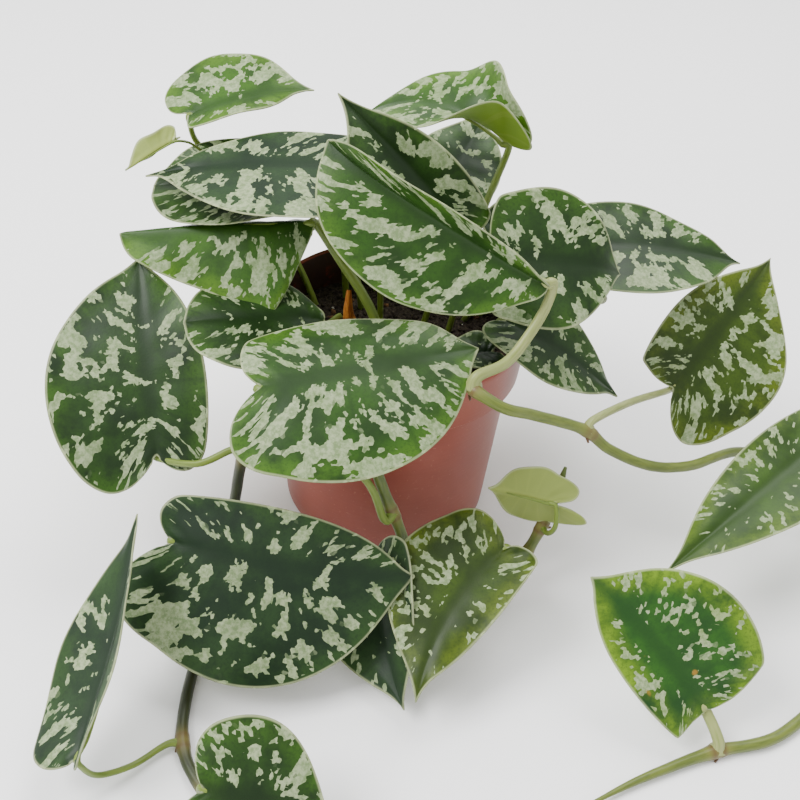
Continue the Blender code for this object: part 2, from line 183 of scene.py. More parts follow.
class Recipe:
    """A material's node tree, with short calls for the nodes that the finishes use."""

    # The colour sockets of a mix node, which come after those for numbers and vectors.
    MIX_FIRST = 6
    MIX_SECOND = 7
    MIX_RESULT = 2

    def __init__(self, name: str, roughness: float, sheen: float = 0.0, specular: float = 0.5) -> None:
        """Start a Principled material.

        Args:
            name: The material's name.
            roughness: The surface's roughness where no node gives it.
            sheen: The weight of its sheen.
            specular: The level of its plain reflection.
        """
        self.material = bpy.data.materials.new(name)
        self.material.use_nodes = True
        self.tree = self.material.node_tree
        self.shader = self.tree.nodes["Principled BSDF"]
        self.shader.inputs["Roughness"].default_value = roughness
        self.shader.inputs["Sheen Weight"].default_value = sheen
        self.shader.inputs["Specular IOR Level"].default_value = specular

    def feed(self, socket: bpy.types.NodeSocket, value: object) -> None:
        """Link a socket to another one, or set its value.

        Args:
            socket: The input that is fed.
            value: An output to link, or a plain value.
        """
        if isinstance(value, bpy.types.NodeSocket):
            self.tree.links.new(value, socket)
        else:
            socket.default_value = value

    def add(self, kind: str, **settings: object) -> bpy.types.Node:
        """Add a node.

        Args:
            kind: The node's type.
            **settings: Values set on the node.

        Returns:
            The node.
        """
        node = self.tree.nodes.new(kind)
        for name, value in settings.items():
            setattr(node, name, value)
        return node

    def place(self) -> bpy.types.NodeSocket:
        """Give the place on the piece, in metres."""
        return self.add("ShaderNodeTexCoord").outputs["Object"]

    def surface(self, name: str) -> bpy.types.NodeSocket:
        """Give the place on the piece's own map of this name."""
        return self.add("ShaderNodeUVMap", uv_map=name).outputs["UV"]

    def measures(self, name: str) -> list[bpy.types.NodeSocket]:
        """Read the numbers that the piece's points carry.

        Args:
            name: The name that they are carried under.

        Returns:
            The three numbers, each as a socket.
        """
        carried = self.add("ShaderNodeAttribute", attribute_name=name)
        parts = self.add("ShaderNodeSeparateXYZ")
        self.feed(parts.inputs[0], carried.outputs["Vector"])
        return list(parts.outputs)

    def mapped(self, vector: object, scale: Place, shift: Place = (0, 0, 0)) -> bpy.types.NodeSocket:
        """Scale and shift a place.

        Args:
            vector: The place.
            scale: What each axis is multiplied by.
            shift: What is added to each axis.

        Returns:
            The changed place.
        """
        node = self.add("ShaderNodeMapping")
        self.feed(node.inputs["Vector"], vector)
        node.inputs["Scale"].default_value = scale
        node.inputs["Location"].default_value = shift
        return node.outputs[0]

    def noise(self, vector: object, scale: float, detail: float = 2.0,
              rough: float = 0.5) -> bpy.types.NodeSocket:
        """Spread soft noise over a place.

        Args:
            vector: The place.
            scale: How many waves there are for each unit of it.
            detail: How many finer layers it has.
            rough: How strong the finer layers are.

        Returns:
            The noise, about 0.5 on average.
        """
        node = self.add("ShaderNodeTexNoise")
        self.feed(node.inputs["Vector"], vector)
        node.inputs["Scale"].default_value = scale
        node.inputs["Detail"].default_value = detail
        node.inputs["Roughness"].default_value = rough
        return node.outputs[0]

    def cell_middle(self, vector: object, scale: float) -> bpy.types.NodeSocket:
        """Divide a place into irregular cells.

        Args:
            vector: The place.
            scale: How many cells there are for each unit of it.

        Returns:
            The middle of the cell that holds the place.
        """
        node = self.add("ShaderNodeTexVoronoi", feature="F1")
        self.feed(node.inputs["Vector"], vector)
        node.inputs["Scale"].default_value = scale
        return node.outputs["Position"]

    def sum(self, operation: str, first: object, second: object = 0.0,
            clamp: bool = False) -> bpy.types.NodeSocket:
        """Work out one sum on two numbers.

        Args:
            operation: The kind of sum.
            first: Its first number.
            second: Its second number.
            clamp: Whether the result is kept between 0 and 1.

        Returns:
            The result.
        """
        node = self.add("ShaderNodeMath", operation=operation, use_clamp=clamp)
        self.feed(node.inputs[0], first)
        self.feed(node.inputs[1], second)
        return node.outputs[0]

    def between(self, value: object, low: float, high: float) -> bpy.types.NodeSocket:
        """Make a soft step of a number.

        Args:
            value: The number.
            low: Where the step is 0.
            high: Where it is 1, which may be the smaller of the two.

        Returns:
            The step, 0 to 1.
        """
        node = self.add("ShaderNodeMapRange", interpolation_type="SMOOTHSTEP")
        self.feed(node.inputs["Value"], value)
        node.inputs["From Min"].default_value = low
        node.inputs["From Max"].default_value = high
        return node.outputs["Result"]

    def scaled_to(self, value: object, low: float, high: float) -> bpy.types.NodeSocket:
        """Spread a number from 0 to 1 over another range.

        Args:
            value: The number.
            low: What 0 becomes.
            high: What 1 becomes.

        Returns:
            The spread number.
        """
        node = self.add("ShaderNodeMapRange")
        self.feed(node.inputs["Value"], value)
        node.inputs["To Min"].default_value = low
        node.inputs["To Max"].default_value = high
        return node.outputs["Result"]

    def blend(self, factor: object, first: object, second: object) -> bpy.types.NodeSocket:
        """Mix two colours.

        Args:
            factor: How much of the second colour there is, 0 to 1.
            first: The first colour.
            second: The second colour.

        Returns:
            The mixed colour.
        """
        node = self.add("ShaderNodeMix", data_type="RGBA")
        self.feed(node.inputs[0], factor)
        self.feed(node.inputs[self.MIX_FIRST], first)
        self.feed(node.inputs[self.MIX_SECOND], second)
        return node.outputs[self.MIX_RESULT]

    def share(self, value: object, part: float) -> bpy.types.NodeSocket:
        """Take part of a number."""
        return self.sum("MULTIPLY", value, part)

    def bump(self, height: object, depth: float, strength: float = 1.0,
             under: object = None) -> bpy.types.NodeSocket:
        """Turn a height into relief.

        Args:
            height: The height, 0 to 1.
            depth: How deep the relief is, in metres.
            strength: How much of it shows.
            under: The relief that it lies on, if there is one.

        Returns:
            The bumped normal.
        """
        node = self.add("ShaderNodeBump")
        node.inputs["Strength"].default_value = strength
        node.inputs["Distance"].default_value = depth
        self.feed(node.inputs["Height"], height)
        if under is not None:
            self.feed(node.inputs["Normal"], under)
        return node.outputs[0]

    def finish(self, colour: object, normal: object = None, roughness: object = None) -> bpy.types.Material:
        """Wire the colour, relief and roughness into the shader.

        Args:
            colour: The base colour.
            normal: The bumped normal, if there is one.
            roughness: The roughness, if a node gives it.

        Returns:
            The finished material.
        """
        self.feed(self.shader.inputs["Base Color"], colour)
        if normal is not None:
            self.feed(self.shader.inputs["Normal"], normal)
        if roughness is not None:
            self.feed(self.shader.inputs["Roughness"], roughness)
        return self.material


class Tone(Enum):
    """A leaf's greens: its ground, its darker patches, its underside and its fresher edge. One set is
    painted shade, for leaves that lie in shadow.
    """

    DEEP = (paint(30, 56, 14), paint(16, 35, 9), paint(84, 102, 36), paint(48, 80, 16))
    # Painted shade: darker, bluer greens for the leaves that lie in shadow.
    BLUISH = (paint(30, 52, 24), paint(17, 34, 17), paint(84, 102, 42), paint(36, 62, 22))
    MIDDLE = (paint(38, 70, 14), paint(23, 47, 10), paint(90, 108, 34), paint(64, 98, 22))
    FRESH = (paint(50, 86, 16), paint(30, 58, 10), paint(106, 132, 30), paint(74, 108, 20))
    OLIVE = (paint(48, 68, 9), paint(30, 46, 7), paint(96, 110, 36), paint(84, 100, 16))
    BRIGHT = (paint(38, 78, 20), paint(24, 57, 17), paint(108, 132, 40), paint(110, 140, 24))
    LIME = (paint(46, 74, 9), paint(31, 54, 7), paint(104, 124, 36), paint(80, 104, 16))
    # Young leaves' pale greens, also painted bright as light shining through a thin leaf seen from below.
    YOUNG = (paint(112, 128, 50), paint(88, 106, 34), paint(128, 140, 70), paint(150, 150, 92))


@dataclass(frozen=True)
class BladeFinish:
    """Satin leaf skin: silver blotches between the lateral veins, a dark midrib and a pale margin.

    Sizes and reaches on the blade are in mm, and the scales of the skin's noises are in waves for each
    metre.
    """

    name: str
    tone: Tone
    coverage: float = 0.30
    blotch: float = 8.0
    jag: float = 0.9
    seed: float = 0.0
    spotted: bool = False

    silver: Colour = paint(146, 158, 122)
    dull_silver: Colour = paint(108, 126, 86)
    margin_pale: Colour = paint(164, 172, 130)
    vein_pale: Colour = paint(138, 150, 70)
    blemish_brown: Colour = paint(140, 104, 36)

    patch_scale: float = 55
    speckle_scale: float = 800
    mottle_scale: float = 520
    tint_scale: float = 70
    wear_scale: float = 160
    blemish_scale: float = 75
    pore_scale: float = 1500
    under_patch_scale: float = 60
    under_pore_scale: float = 1200

    fresh_reach: float = 11.0
    dark_rib_reach: float = 6.0
    bare_rib_reach: float = 7.0
    fleck_rib_reach: float = 9.0
    rim_reach: float = 1.2
    rim_start: float = 0.3
    stretch: float = 0.55
    fleck_size: float = 2.1
    fleck_levels: tuple[float, float] = (0.655, 0.66)
    level_spread: float = 0.11
    edge_softness: float = 0.003

    pore_depth: float = 0.00008
    silver_depth: float = 0.00012

    def ground(self, recipe: Recipe, rib: object, margin: object, vein: object) -> bpy.types.NodeSocket:
        """Mix the green between the blotches, with its veins, midrib and fresher edge.

        Args:
            recipe: The skin's recipe.
            rib: The distance from the midrib.
            margin: The distance from the margin.
            vein: The distance from the nearest lateral vein, as a share of their spacing.

        Returns:
            The green.
        """
        light, dark, _, edge = self.tone.value
        patches = recipe.noise(recipe.place(), self.patch_scale, 4, 0.6)
        green = recipe.blend(recipe.between(patches, 0.34, 0.66), dark, light)
        by_edge = recipe.between(margin, self.fresh_reach, 1.0)
        fresh = recipe.sum("MULTIPLY", by_edge, recipe.between(patches, 0.3, 0.6))
        green = recipe.blend(recipe.share(fresh, 0.75), green, edge)
        speckle = recipe.noise(recipe.place(), self.speckle_scale, 3, 0.7)
        green = recipe.blend(recipe.share(recipe.between(speckle, 0.45, 0.7), 0.45), green, dark)
        green = recipe.blend(recipe.share(recipe.between(vein, 0.10, 0.01), 0.35), green, dark)
        by_rib = recipe.between(rib, self.dark_rib_reach, 0.8)
        return recipe.blend(recipe.share(by_rib, 0.75), green, dark)

    def blotches(self, recipe: Recipe, rib: object, margin: object) -> bpy.types.NodeSocket:
        """Lay out the silver blotches. Small cells make their edges jagged.

        Args:
            recipe: The skin's recipe.
            rib: The distance from the midrib.
            margin: The distance from the margin.

        Returns:
            1 on the silver and 0 on the green.
        """
        shift = (self.seed, self.seed * 0.37, 0)
        flat = recipe.mapped(recipe.surface("blade"), (self.stretch, 1.0, 1.0), shift)
        corner = recipe.cell_middle(flat, MAP_SPAN / self.jag)
        swirl = recipe.noise(corner, MAP_SPAN / (self.blotch * 0.5), 1)
        broad = recipe.noise(corner, MAP_SPAN / self.blotch, 1.5, 0.55)
        value = recipe.sum("ADD", recipe.share(broad, 0.62), recipe.share(swirl, 0.38))
        by_rib = recipe.between(rib, self.bare_rib_reach, 1.0)
        value = recipe.sum("SUBTRACT", value, recipe.share(by_rib, 0.14))
        by_edge = recipe.between(margin, 2.0, 0.4)
        value = recipe.sum("SUBTRACT", value, recipe.share(by_edge, 0.05))
        level = 0.5 + self.level_spread * (1 - 2 * self.coverage)
        large = recipe.between(value, level - self.edge_softness, level + self.edge_softness)
        moved = recipe.mapped(corner, (0.5, 1, 1), (3.3, 1.7, 0))
        fleck = recipe.noise(moved, MAP_SPAN / self.fleck_size, 1)
        by_rib = recipe.between(rib, self.fleck_rib_reach, 2.0)
        fleck = recipe.sum("SUBTRACT", fleck, recipe.share(by_rib, 0.2))
        return recipe.sum("MAXIMUM", large, recipe.between(fleck, *self.fleck_levels))

    def upper(self) -> bpy.types.Material:
        """Build the upper skin.

        Returns:
            The material.
        """
        recipe = Recipe(self.name + "_upper_skin", 0.5, specular=0.2)
        rib, margin, vein = recipe.measures("blade_measures")
        green = self.ground(recipe, rib, margin, vein)
        silver_mask = self.blotches(recipe, rib, margin)
        mottle = recipe.noise(recipe.place(), self.mottle_scale, 4, 0.7)
        silver = recipe.blend(recipe.between(mottle, 0.36, 0.64), self.dull_silver, self.silver)
        tinted = recipe.between(recipe.noise(recipe.place(), self.tint_scale, 2), 0.45, 0.7)
        silver = recipe.blend(recipe.share(tinted, 0.3), silver, self.tone.value[3])
        skin = recipe.blend(recipe.share(silver_mask, 0.94), green, silver)
        if self.spotted:
            blemish = recipe.between(recipe.noise(recipe.place(), self.blemish_scale, 2), 0.68, 0.72)
            skin = recipe.blend(recipe.share(blemish, 0.8), skin, self.blemish_brown)
        worn = recipe.scaled_to(recipe.noise(recipe.place(), self.wear_scale, 2), 0.3, 1.1)
        rim = recipe.between(margin, self.rim_reach, self.rim_start)
        rim = recipe.sum("MULTIPLY", rim, worn, clamp=True)
        skin = recipe.blend(recipe.share(rim, 0.8), skin, self.margin_pale)
        pores = recipe.noise(recipe.place(), self.pore_scale, 2)
        normal = recipe.bump(pores, self.pore_depth, 0.5)
        normal = recipe.bump(silver_mask, self.silver_depth, 0.6, normal)
        rough = recipe.scaled_to(silver_mask, 0.42, 0.56)
        return recipe.finish(skin, normal, rough)

    def under(self) -> bpy.types.Material:
        """Build the plain paler underside, with faint veins. Its greens are paler than the upper side's, and
        are also brightened as painted light shining through the thin leaf.

        Returns:
            The material.
        """
        recipe = Recipe(self.name + "_under_skin", 0.55, sheen=0.05, specular=0.3)
        rib, margin, vein = recipe.measures("blade_measures")
        light, _, pale, _ = self.tone.value
        patches = recipe.noise(recipe.place(), self.under_patch_scale, 3)
        skin = recipe.blend(recipe.scaled_to(patches, 0.0, 0.6), pale, light)
        on_vein = recipe.between(vein, 0.12, 0.02)
        skin = recipe.blend(recipe.share(on_vein, 0.3), skin, self.vein_pale)
        on_rib = recipe.between(rib, 2.5, 0.8)
        skin = recipe.blend(recipe.share(on_rib, 0.5), skin, self.vein_pale)
        rim = recipe.between(margin, self.rim_reach, self.rim_start)
        skin = recipe.blend(recipe.share(rim, 0.6), skin, self.margin_pale)
        pores = recipe.noise(recipe.place(), self.under_pore_scale, 2)
        return recipe.finish(skin, recipe.bump(pores, self.pore_depth, 0.5))


@dataclass(frozen=True)
class StemFinish:
    """Green stem skin with streaks along it and browner nodes."""

    name: str
    green: Colour
    shade: Colour
    node: Colour = paint(116, 108, 52)
    scar: Colour = paint(84, 60, 30)
    stretch: float = 0.12
    streak_scale: float = 90
    patch_scale: float = 70
    streak_depth: float = 0.00015

    def build(self) -> bpy.types.Material:
        """Build the material.

        Returns:
            The material.
        """
        recipe = Recipe(self.name, 0.45, sheen=0.03, specular=0.4)
        along = recipe.mapped(recipe.surface("stem"), (1.0, self.stretch, 1.0))
        streaks = recipe.noise(along, self.streak_scale, 3, 0.6)
        tone = recipe.blend(recipe.between(streaks, 0.25, 0.6), self.shade, self.green)
        patches = recipe.between(recipe.noise(recipe.place(), self.patch_scale, 3), 0.45, 0.7)
        tone = recipe.blend(recipe.scaled_to(patches, 0.0, 0.5), tone, self.shade)
        node, scar, _ = recipe.measures("stem_measures")
        tone = recipe.blend(recipe.share(node, 0.7), tone, self.node)
        tone = recipe.blend(recipe.share(scar, 0.8), tone, self.scar)
        return recipe.finish(tone, recipe.bump(streaks, self.streak_depth, 0.5))


@dataclass(frozen=True)
class PotFinish:
    """Satin moulded plastic, terracotta in colour and a little chalky. The inner wall's copy is dark brown
    over most of it.
    """

    name: str = "terracotta_plastic_skin"
    darkened_inside: bool = False
    clay: Colour = paint(124, 46, 26)
    faded: Colour = paint(146, 76, 60)
    line_shade: Colour = paint(96, 36, 20)
    chalk: Colour = paint(172, 116, 92)
    inner_dark: Colour = paint(44, 34, 27)
    cloud_scale: float = 22
    line_scale: float = 60
    lines_upward: float = 14
    dust_scale: float = 700
    inner_dark_scale: float = 90
    grain_scale: float = 1400
    line_depth: float = 0.00008
    grain_depth: float = 0.00004

    def build(self) -> bpy.types.Material:
        """Build the material.

        Returns:
            The material.
        """
        recipe = Recipe(self.name, 0.4, sheen=0.02, specular=0.5)
        place = recipe.place()
        clouds = recipe.noise(place, self.cloud_scale, 4, 0.6)
        fading = recipe.scaled_to(recipe.between(clouds, 0.4, 0.75), 0.0, 0.45)
        skin = recipe.blend(fading, self.clay, self.faded)
        lines = recipe.noise(recipe.mapped(place, (1, 1, self.lines_upward)), self.line_scale, 2)
        skin = recipe.blend(recipe.scaled_to(lines, 0.0, 0.18), skin, self.line_shade)
        dust = recipe.between(recipe.noise(place, self.dust_scale, 2), 0.64, 0.75)
        skin = recipe.blend(recipe.share(dust, 0.25), skin, self.chalk)
        # The inner wall's copy is dark brown over most of its area.
        if self.darkened_inside:
            inner_darkening = recipe.between(recipe.noise(place, self.inner_dark_scale, 4, 0.7), 0.3, 0.5)
            skin = recipe.blend(recipe.share(inner_darkening, 0.92), skin, self.inner_dark)
        rough = recipe.scaled_to(clouds, 0.32, 0.5)
        normal = recipe.bump(lines, self.line_depth, 0.5)
        normal = recipe.bump(recipe.noise(place, self.grain_scale, 2), self.grain_depth, 0.5, normal)
        return recipe.finish(skin, normal, rough)


class Earth(Enum):
    """What lies in the soil: its darkest and palest colours, roughness and grain."""

    PEAT = (paint(38, 31, 26), paint(84, 74, 62), 0.95, 700.0)
    PERLITE = (paint(206, 202, 190), paint(232, 230, 222), 0.85, 900.0)
    BARK = (paint(70, 48, 32), paint(126, 92, 60), 0.9, 500.0)


@dataclass(frozen=True)
class EarthFinish:
    """Crumbly matter in two mixed colours."""

    kind: Earth
    grain_depth: float = 0.0006

    def build(self) -> bpy.types.Material:
        """Build the material.

        Returns:
            The material.
        """
        dark, pale, rough, grain = self.kind.value
        recipe = Recipe(self.kind.name.lower() + "_skin", rough, specular=0.2)
        place = recipe.place()
        fine = recipe.noise(place, grain, 4, 0.7)
        patches = recipe.between(recipe.noise(place, grain * 0.2, 2), 0.5, 0.7)
        tone = recipe.blend(recipe.between(fine, 0.42, 0.72), dark, pale)
        tone = recipe.blend(recipe.scaled_to(patches, 0.0, 0.5), tone, dark)
        return recipe.finish(tone, recipe.bump(fine, self.grain_depth, 0.9))


@dataclass(frozen=True)
class PaperFinish:
    """Dry papery sheath, orange brown with darker fibres."""

    name: str = "dried_sheath_skin"
    dark: Colour = paint(128, 66, 18)
    pale: Colour = paint(196, 128, 52)
    stretch: float = 0.1
    fibre_scale: float = 120
    fibre_depth: float = 0.0003

    def build(self) -> bpy.types.Material:
        """Build the material.

        Returns:
            The material.
        """
        recipe = Recipe(self.name, 0.8, specular=0.25)
        along = recipe.mapped(recipe.surface("stem"), (1.0, self.stretch, 1.0))
        fibres = recipe.noise(along, self.fibre_scale, 4, 0.6)
        tone = recipe.blend(recipe.between(fibres, 0.35, 0.7), self.dark, self.pale)
        return recipe.finish(tone, recipe.bump(fibres, self.fibre_depth, 0.8))


class Outline(Enum):
    """Half outlines of a blade, in blade lengths along the midrib and blade widths across it."""

    HEART = (
        (-0.035, 0.03), (-0.085, 0.085), (-0.125, 0.165), (-0.132, 0.27), (-0.07, 0.375), (0.06, 0.45),
        (0.22, 0.49), (0.38, 0.485), (0.53, 0.43), (0.67, 0.33), (0.785, 0.21), (0.87, 0.105),
        (0.935, 0.042), (1.0, 0.0))
    BROAD = (
        (-0.035, 0.03), (-0.085, 0.085), (-0.125, 0.165), (-0.13, 0.27), (-0.06, 0.375), (0.08, 0.45),
        (0.25, 0.49), (0.42, 0.49), (0.58, 0.45), (0.71, 0.375), (0.81, 0.28), (0.885, 0.175),
        (0.94, 0.08), (1.0, 0.0))
    OVAL = (
        (0.0, 0.02), (0.01, 0.08), (0.05, 0.15), (0.12, 0.25), (0.21, 0.345), (0.32, 0.425), (0.45, 0.48),
        (0.58, 0.49), (0.71, 0.465), (0.82, 0.40), (0.91, 0.30), (0.97, 0.17), (0.99, 0.07), (1.0, 0.0))
    CORNERED = (
        (0.0, 0.02), (0.03, 0.10), (0.09, 0.21), (0.155, 0.33), (0.225, 0.45), (0.29, 0.50), (0.37, 0.45),
        (0.48, 0.38), (0.61, 0.31), (0.74, 0.25), (0.86, 0.195), (0.94, 0.14), (0.985, 0.07), (1.0, 0.0))


@dataclass(frozen=True)
class BladeShape:
    """How a blade departs from a flat heart.

    Fold, cup and funnel are in degrees, wave is in mm, and the rest are ratios.
    """

    fold: float = 0.0
    cup: float = 0.0
    arch: float = 0.0
    hook: float = 0.0
    sweep: float = 0.0
    skew: float = 0.0
    lobes: tuple[float, float] = (1.0, 1.0)
    lean: float = 1.0
    wave: float = 0.9
    funnel: float = 0.0
    outline: Outline = Outline.HEART


def half_outline(points: Sequence[tuple[float, float]], t: float) -> tuple[float, float]:
    """Follow a smooth half outline.

    Args:
        points: The outline's points, in blade lengths along the midrib and blade widths across it.
        t: From 0 beside the petiole to 1 at the tip.

    Returns:
        The share of the blade's length and of its width.
    """
    last = len(points) - 1
    place = min(max(t, 0.0), 1.0) * last
    k = min(int(place), last - 1)
    part = place - k
    knots = [points[min(max(n, 0), last)] for n in (k - 1, k, k + 1, k + 2)]
    x, y = (between_knots(*(knot[axis] for knot in knots), part) for axis in (0, 1))
    return x, max(y, 0.0)


@dataclass
class Stem:
    """A round stem along a route, with a radius at each of its points and swollen nodes."""

    name: str
    route: list[Vector]
    radii: list[float]
    groove: float = 0.0
    up: Vector = field(default_factory=lambda: Vector((0, 0, 1)))
    nodes: list[Vector] = field(default_factory=list)
    sides: int = 14

    node_reach: float = 5.0
    node_swell: float = 0.22
    scar_offset: float = 2.2
    scar_reach: float = 0.9
    scar_swell: float = 0.08
    groove_turn: float = 0.65
    grain: float = 0.05
    grain_round: float = 1.4
    grain_along: float = 0.12
    grain_place: float = 0.03

    def frames(self) -> list[tuple[Vector, Vector]]:
        """Carry a side and an upper direction along the route, from its far end back.

        Returns:
            The two directions at each point of the route.
        """
        last = len(self.route) - 1
        upper = self.up.copy()
        found = []
        for k in range(last, -1, -1):
            along = (self.route[min(k + 1, last)] - self.route[max(k - 1, 0)]).normalized()
            upper = (upper - along * upper.dot(along)).normalized()
            found.append((along.cross(upper), upper.copy()))
        return found[::-1]

    def node_share(self, point: Vector) -> tuple[float, float]:
        """Find how near a point is to a node, and to the scar beside it.

        Args:
            point: The point on the route.

        Returns:
            The two shares, from 0 far away to 1 there.
        """
        near = min(((point - node).length for node in self.nodes), default=math.inf)
        swelling = math.exp(-(near / self.node_reach) ** 2)
        scar = math.exp(-((near - self.scar_offset) / self.scar_reach) ** 2)
        return swelling, scar

    def build(self, material: bpy.types.Material) -> bpy.types.Object:
        """Wrap a grid round the route.

        Args:
            material: The stem's skin.

        Returns:
            The closed stem.
        """
        rows = len(self.route)
        clear_selection()
        bpy.ops.mesh.primitive_grid_add(x_subdivisions=self.sides, y_subdivisions=rows + 1, size=2)
        piece = bpy.context.object
        piece.name = piece.data.name = self.name
        frames = self.frames()
        lengths = [0.0]
        for a, b in zip(self.route, self.route[1:]):
            lengths.append(lengths[-1] + (b - a).length)
        flat, measures = [], []
        for vertex in piece.data.vertices:
            ring = round((vertex.co.y + 1) / 2 * (rows + 1))
            k = min(max(ring - 1, 0), rows - 1)
            turn = math.pi * vertex.co.x
            side, upper = frames[k]
            point = self.route[k]
            swelling, scar = self.node_share(point)
            radius = self.radii[k] * (1 + self.node_swell * swelling + self.scar_swell * scar)
            dent = 1 - self.groove * math.exp(-(turn / self.groove_turn) ** 2)
            spot = Vector((math.cos(turn), math.sin(turn), lengths[k] * self.grain_along)) * self.grain_round
            grain = noise.noise(spot + point * self.grain_place)
            radius *= dent * (1 + self.grain * grain) * (0 if ring in (0, rows + 1) else 1)
            vertex.co = (point + radius * (math.cos(turn) * upper + math.sin(turn) * side)) * MM
            flat.append((0.5 + turn * self.radii[k] / MAP_SPAN, lengths[k] / MAP_SPAN))
            measures.append((swelling, scar, 0.0))
        dress(piece, "stem", flat, "stem_measures", measures)
        piece.data.materials.append(material)
        clean_mesh(piece)
        piece.data.shade_smooth()
        return piece


def dress(piece: bpy.types.Object, map_name: str, flat: list[tuple[float, float]], carried: str,
          measures: list[Place]) -> None:
    """Give a piece its flat map and the numbers that its points carry.

    Args:
        piece: The piece, still with one point for each entry.
        map_name: The name of the flat map.
        flat: The place of each point on the map.
        carried: The name of the carried numbers.
        measures: Three numbers for each point.
    """
    layer = piece.data.uv_layers.active
    layer.name = map_name
    for loop in piece.data.loops:
        layer.data[loop.index].uv = flat[loop.vertex_index]
    attribute = piece.data.attributes.new(carried, "FLOAT_VECTOR", "POINT")
    attribute.data.foreach_set("vector", [number for point in measures for number in point])


@dataclass(frozen=True)
class StalkShape:
    """How a petiole thickens at its foot and its knee, and thins out under the midrib. Lengths are in mm."""

    taper: float = 0.22
    flare: float = 0.55
    flare_reach: float = 0.12
    knee: float = 0.18
    knee_place: float = 0.93
    knee_reach: float = 0.07
    join_share: float = 0.78
    tip_share: float = 0.22
    join_length: float = 7.0
    full_width: float = 40.0
    thickest_under: float = 1.4
    under_stops: tuple[float, ...] = (0.2, 0.36, 0.52, 0.68, 0.8)
    under_sink: float = 0.35
    under_drop: float = 0.8
    knee_below: tuple[float, float] = (2.8, -1.2)
    knee_above: tuple[float, float] = (1.0, 2.0)
    groove: float = 0.25
    steps: int = 8

    def free_radius(self, slim: float, reach: float) -> float:
        """Give the radius between the foot and the blade.

        Args:
            slim: The petiole's own radius.
            reach: From 0 at the foot to 1 at the blade.

        Returns:
            The radius.
        """
        flare = self.flare * math.exp(-(reach / self.flare_reach) ** 2)
        knee = self.knee * math.exp(-((reach - self.knee_place) / self.knee_reach) ** 2)
        return slim * (1.0 - self.taper * reach + flare + knee)

    def under_radius(self, slim: float, left: float) -> float:
        """Give the radius under the midrib.

        Args:
            slim: The petiole's own radius.
            left: From 1 where the blade starts to 0 at the petiole's end.

        Returns:
            The radius.
        """
        under = min(slim, self.thickest_under)
        joined = max(0.0, self.join_length * left - (self.join_length - 1))
        thinned = self.tip_share + (self.join_share - self.tip_share) * left
        return under * thinned + self.join_share * (slim - under) * joined


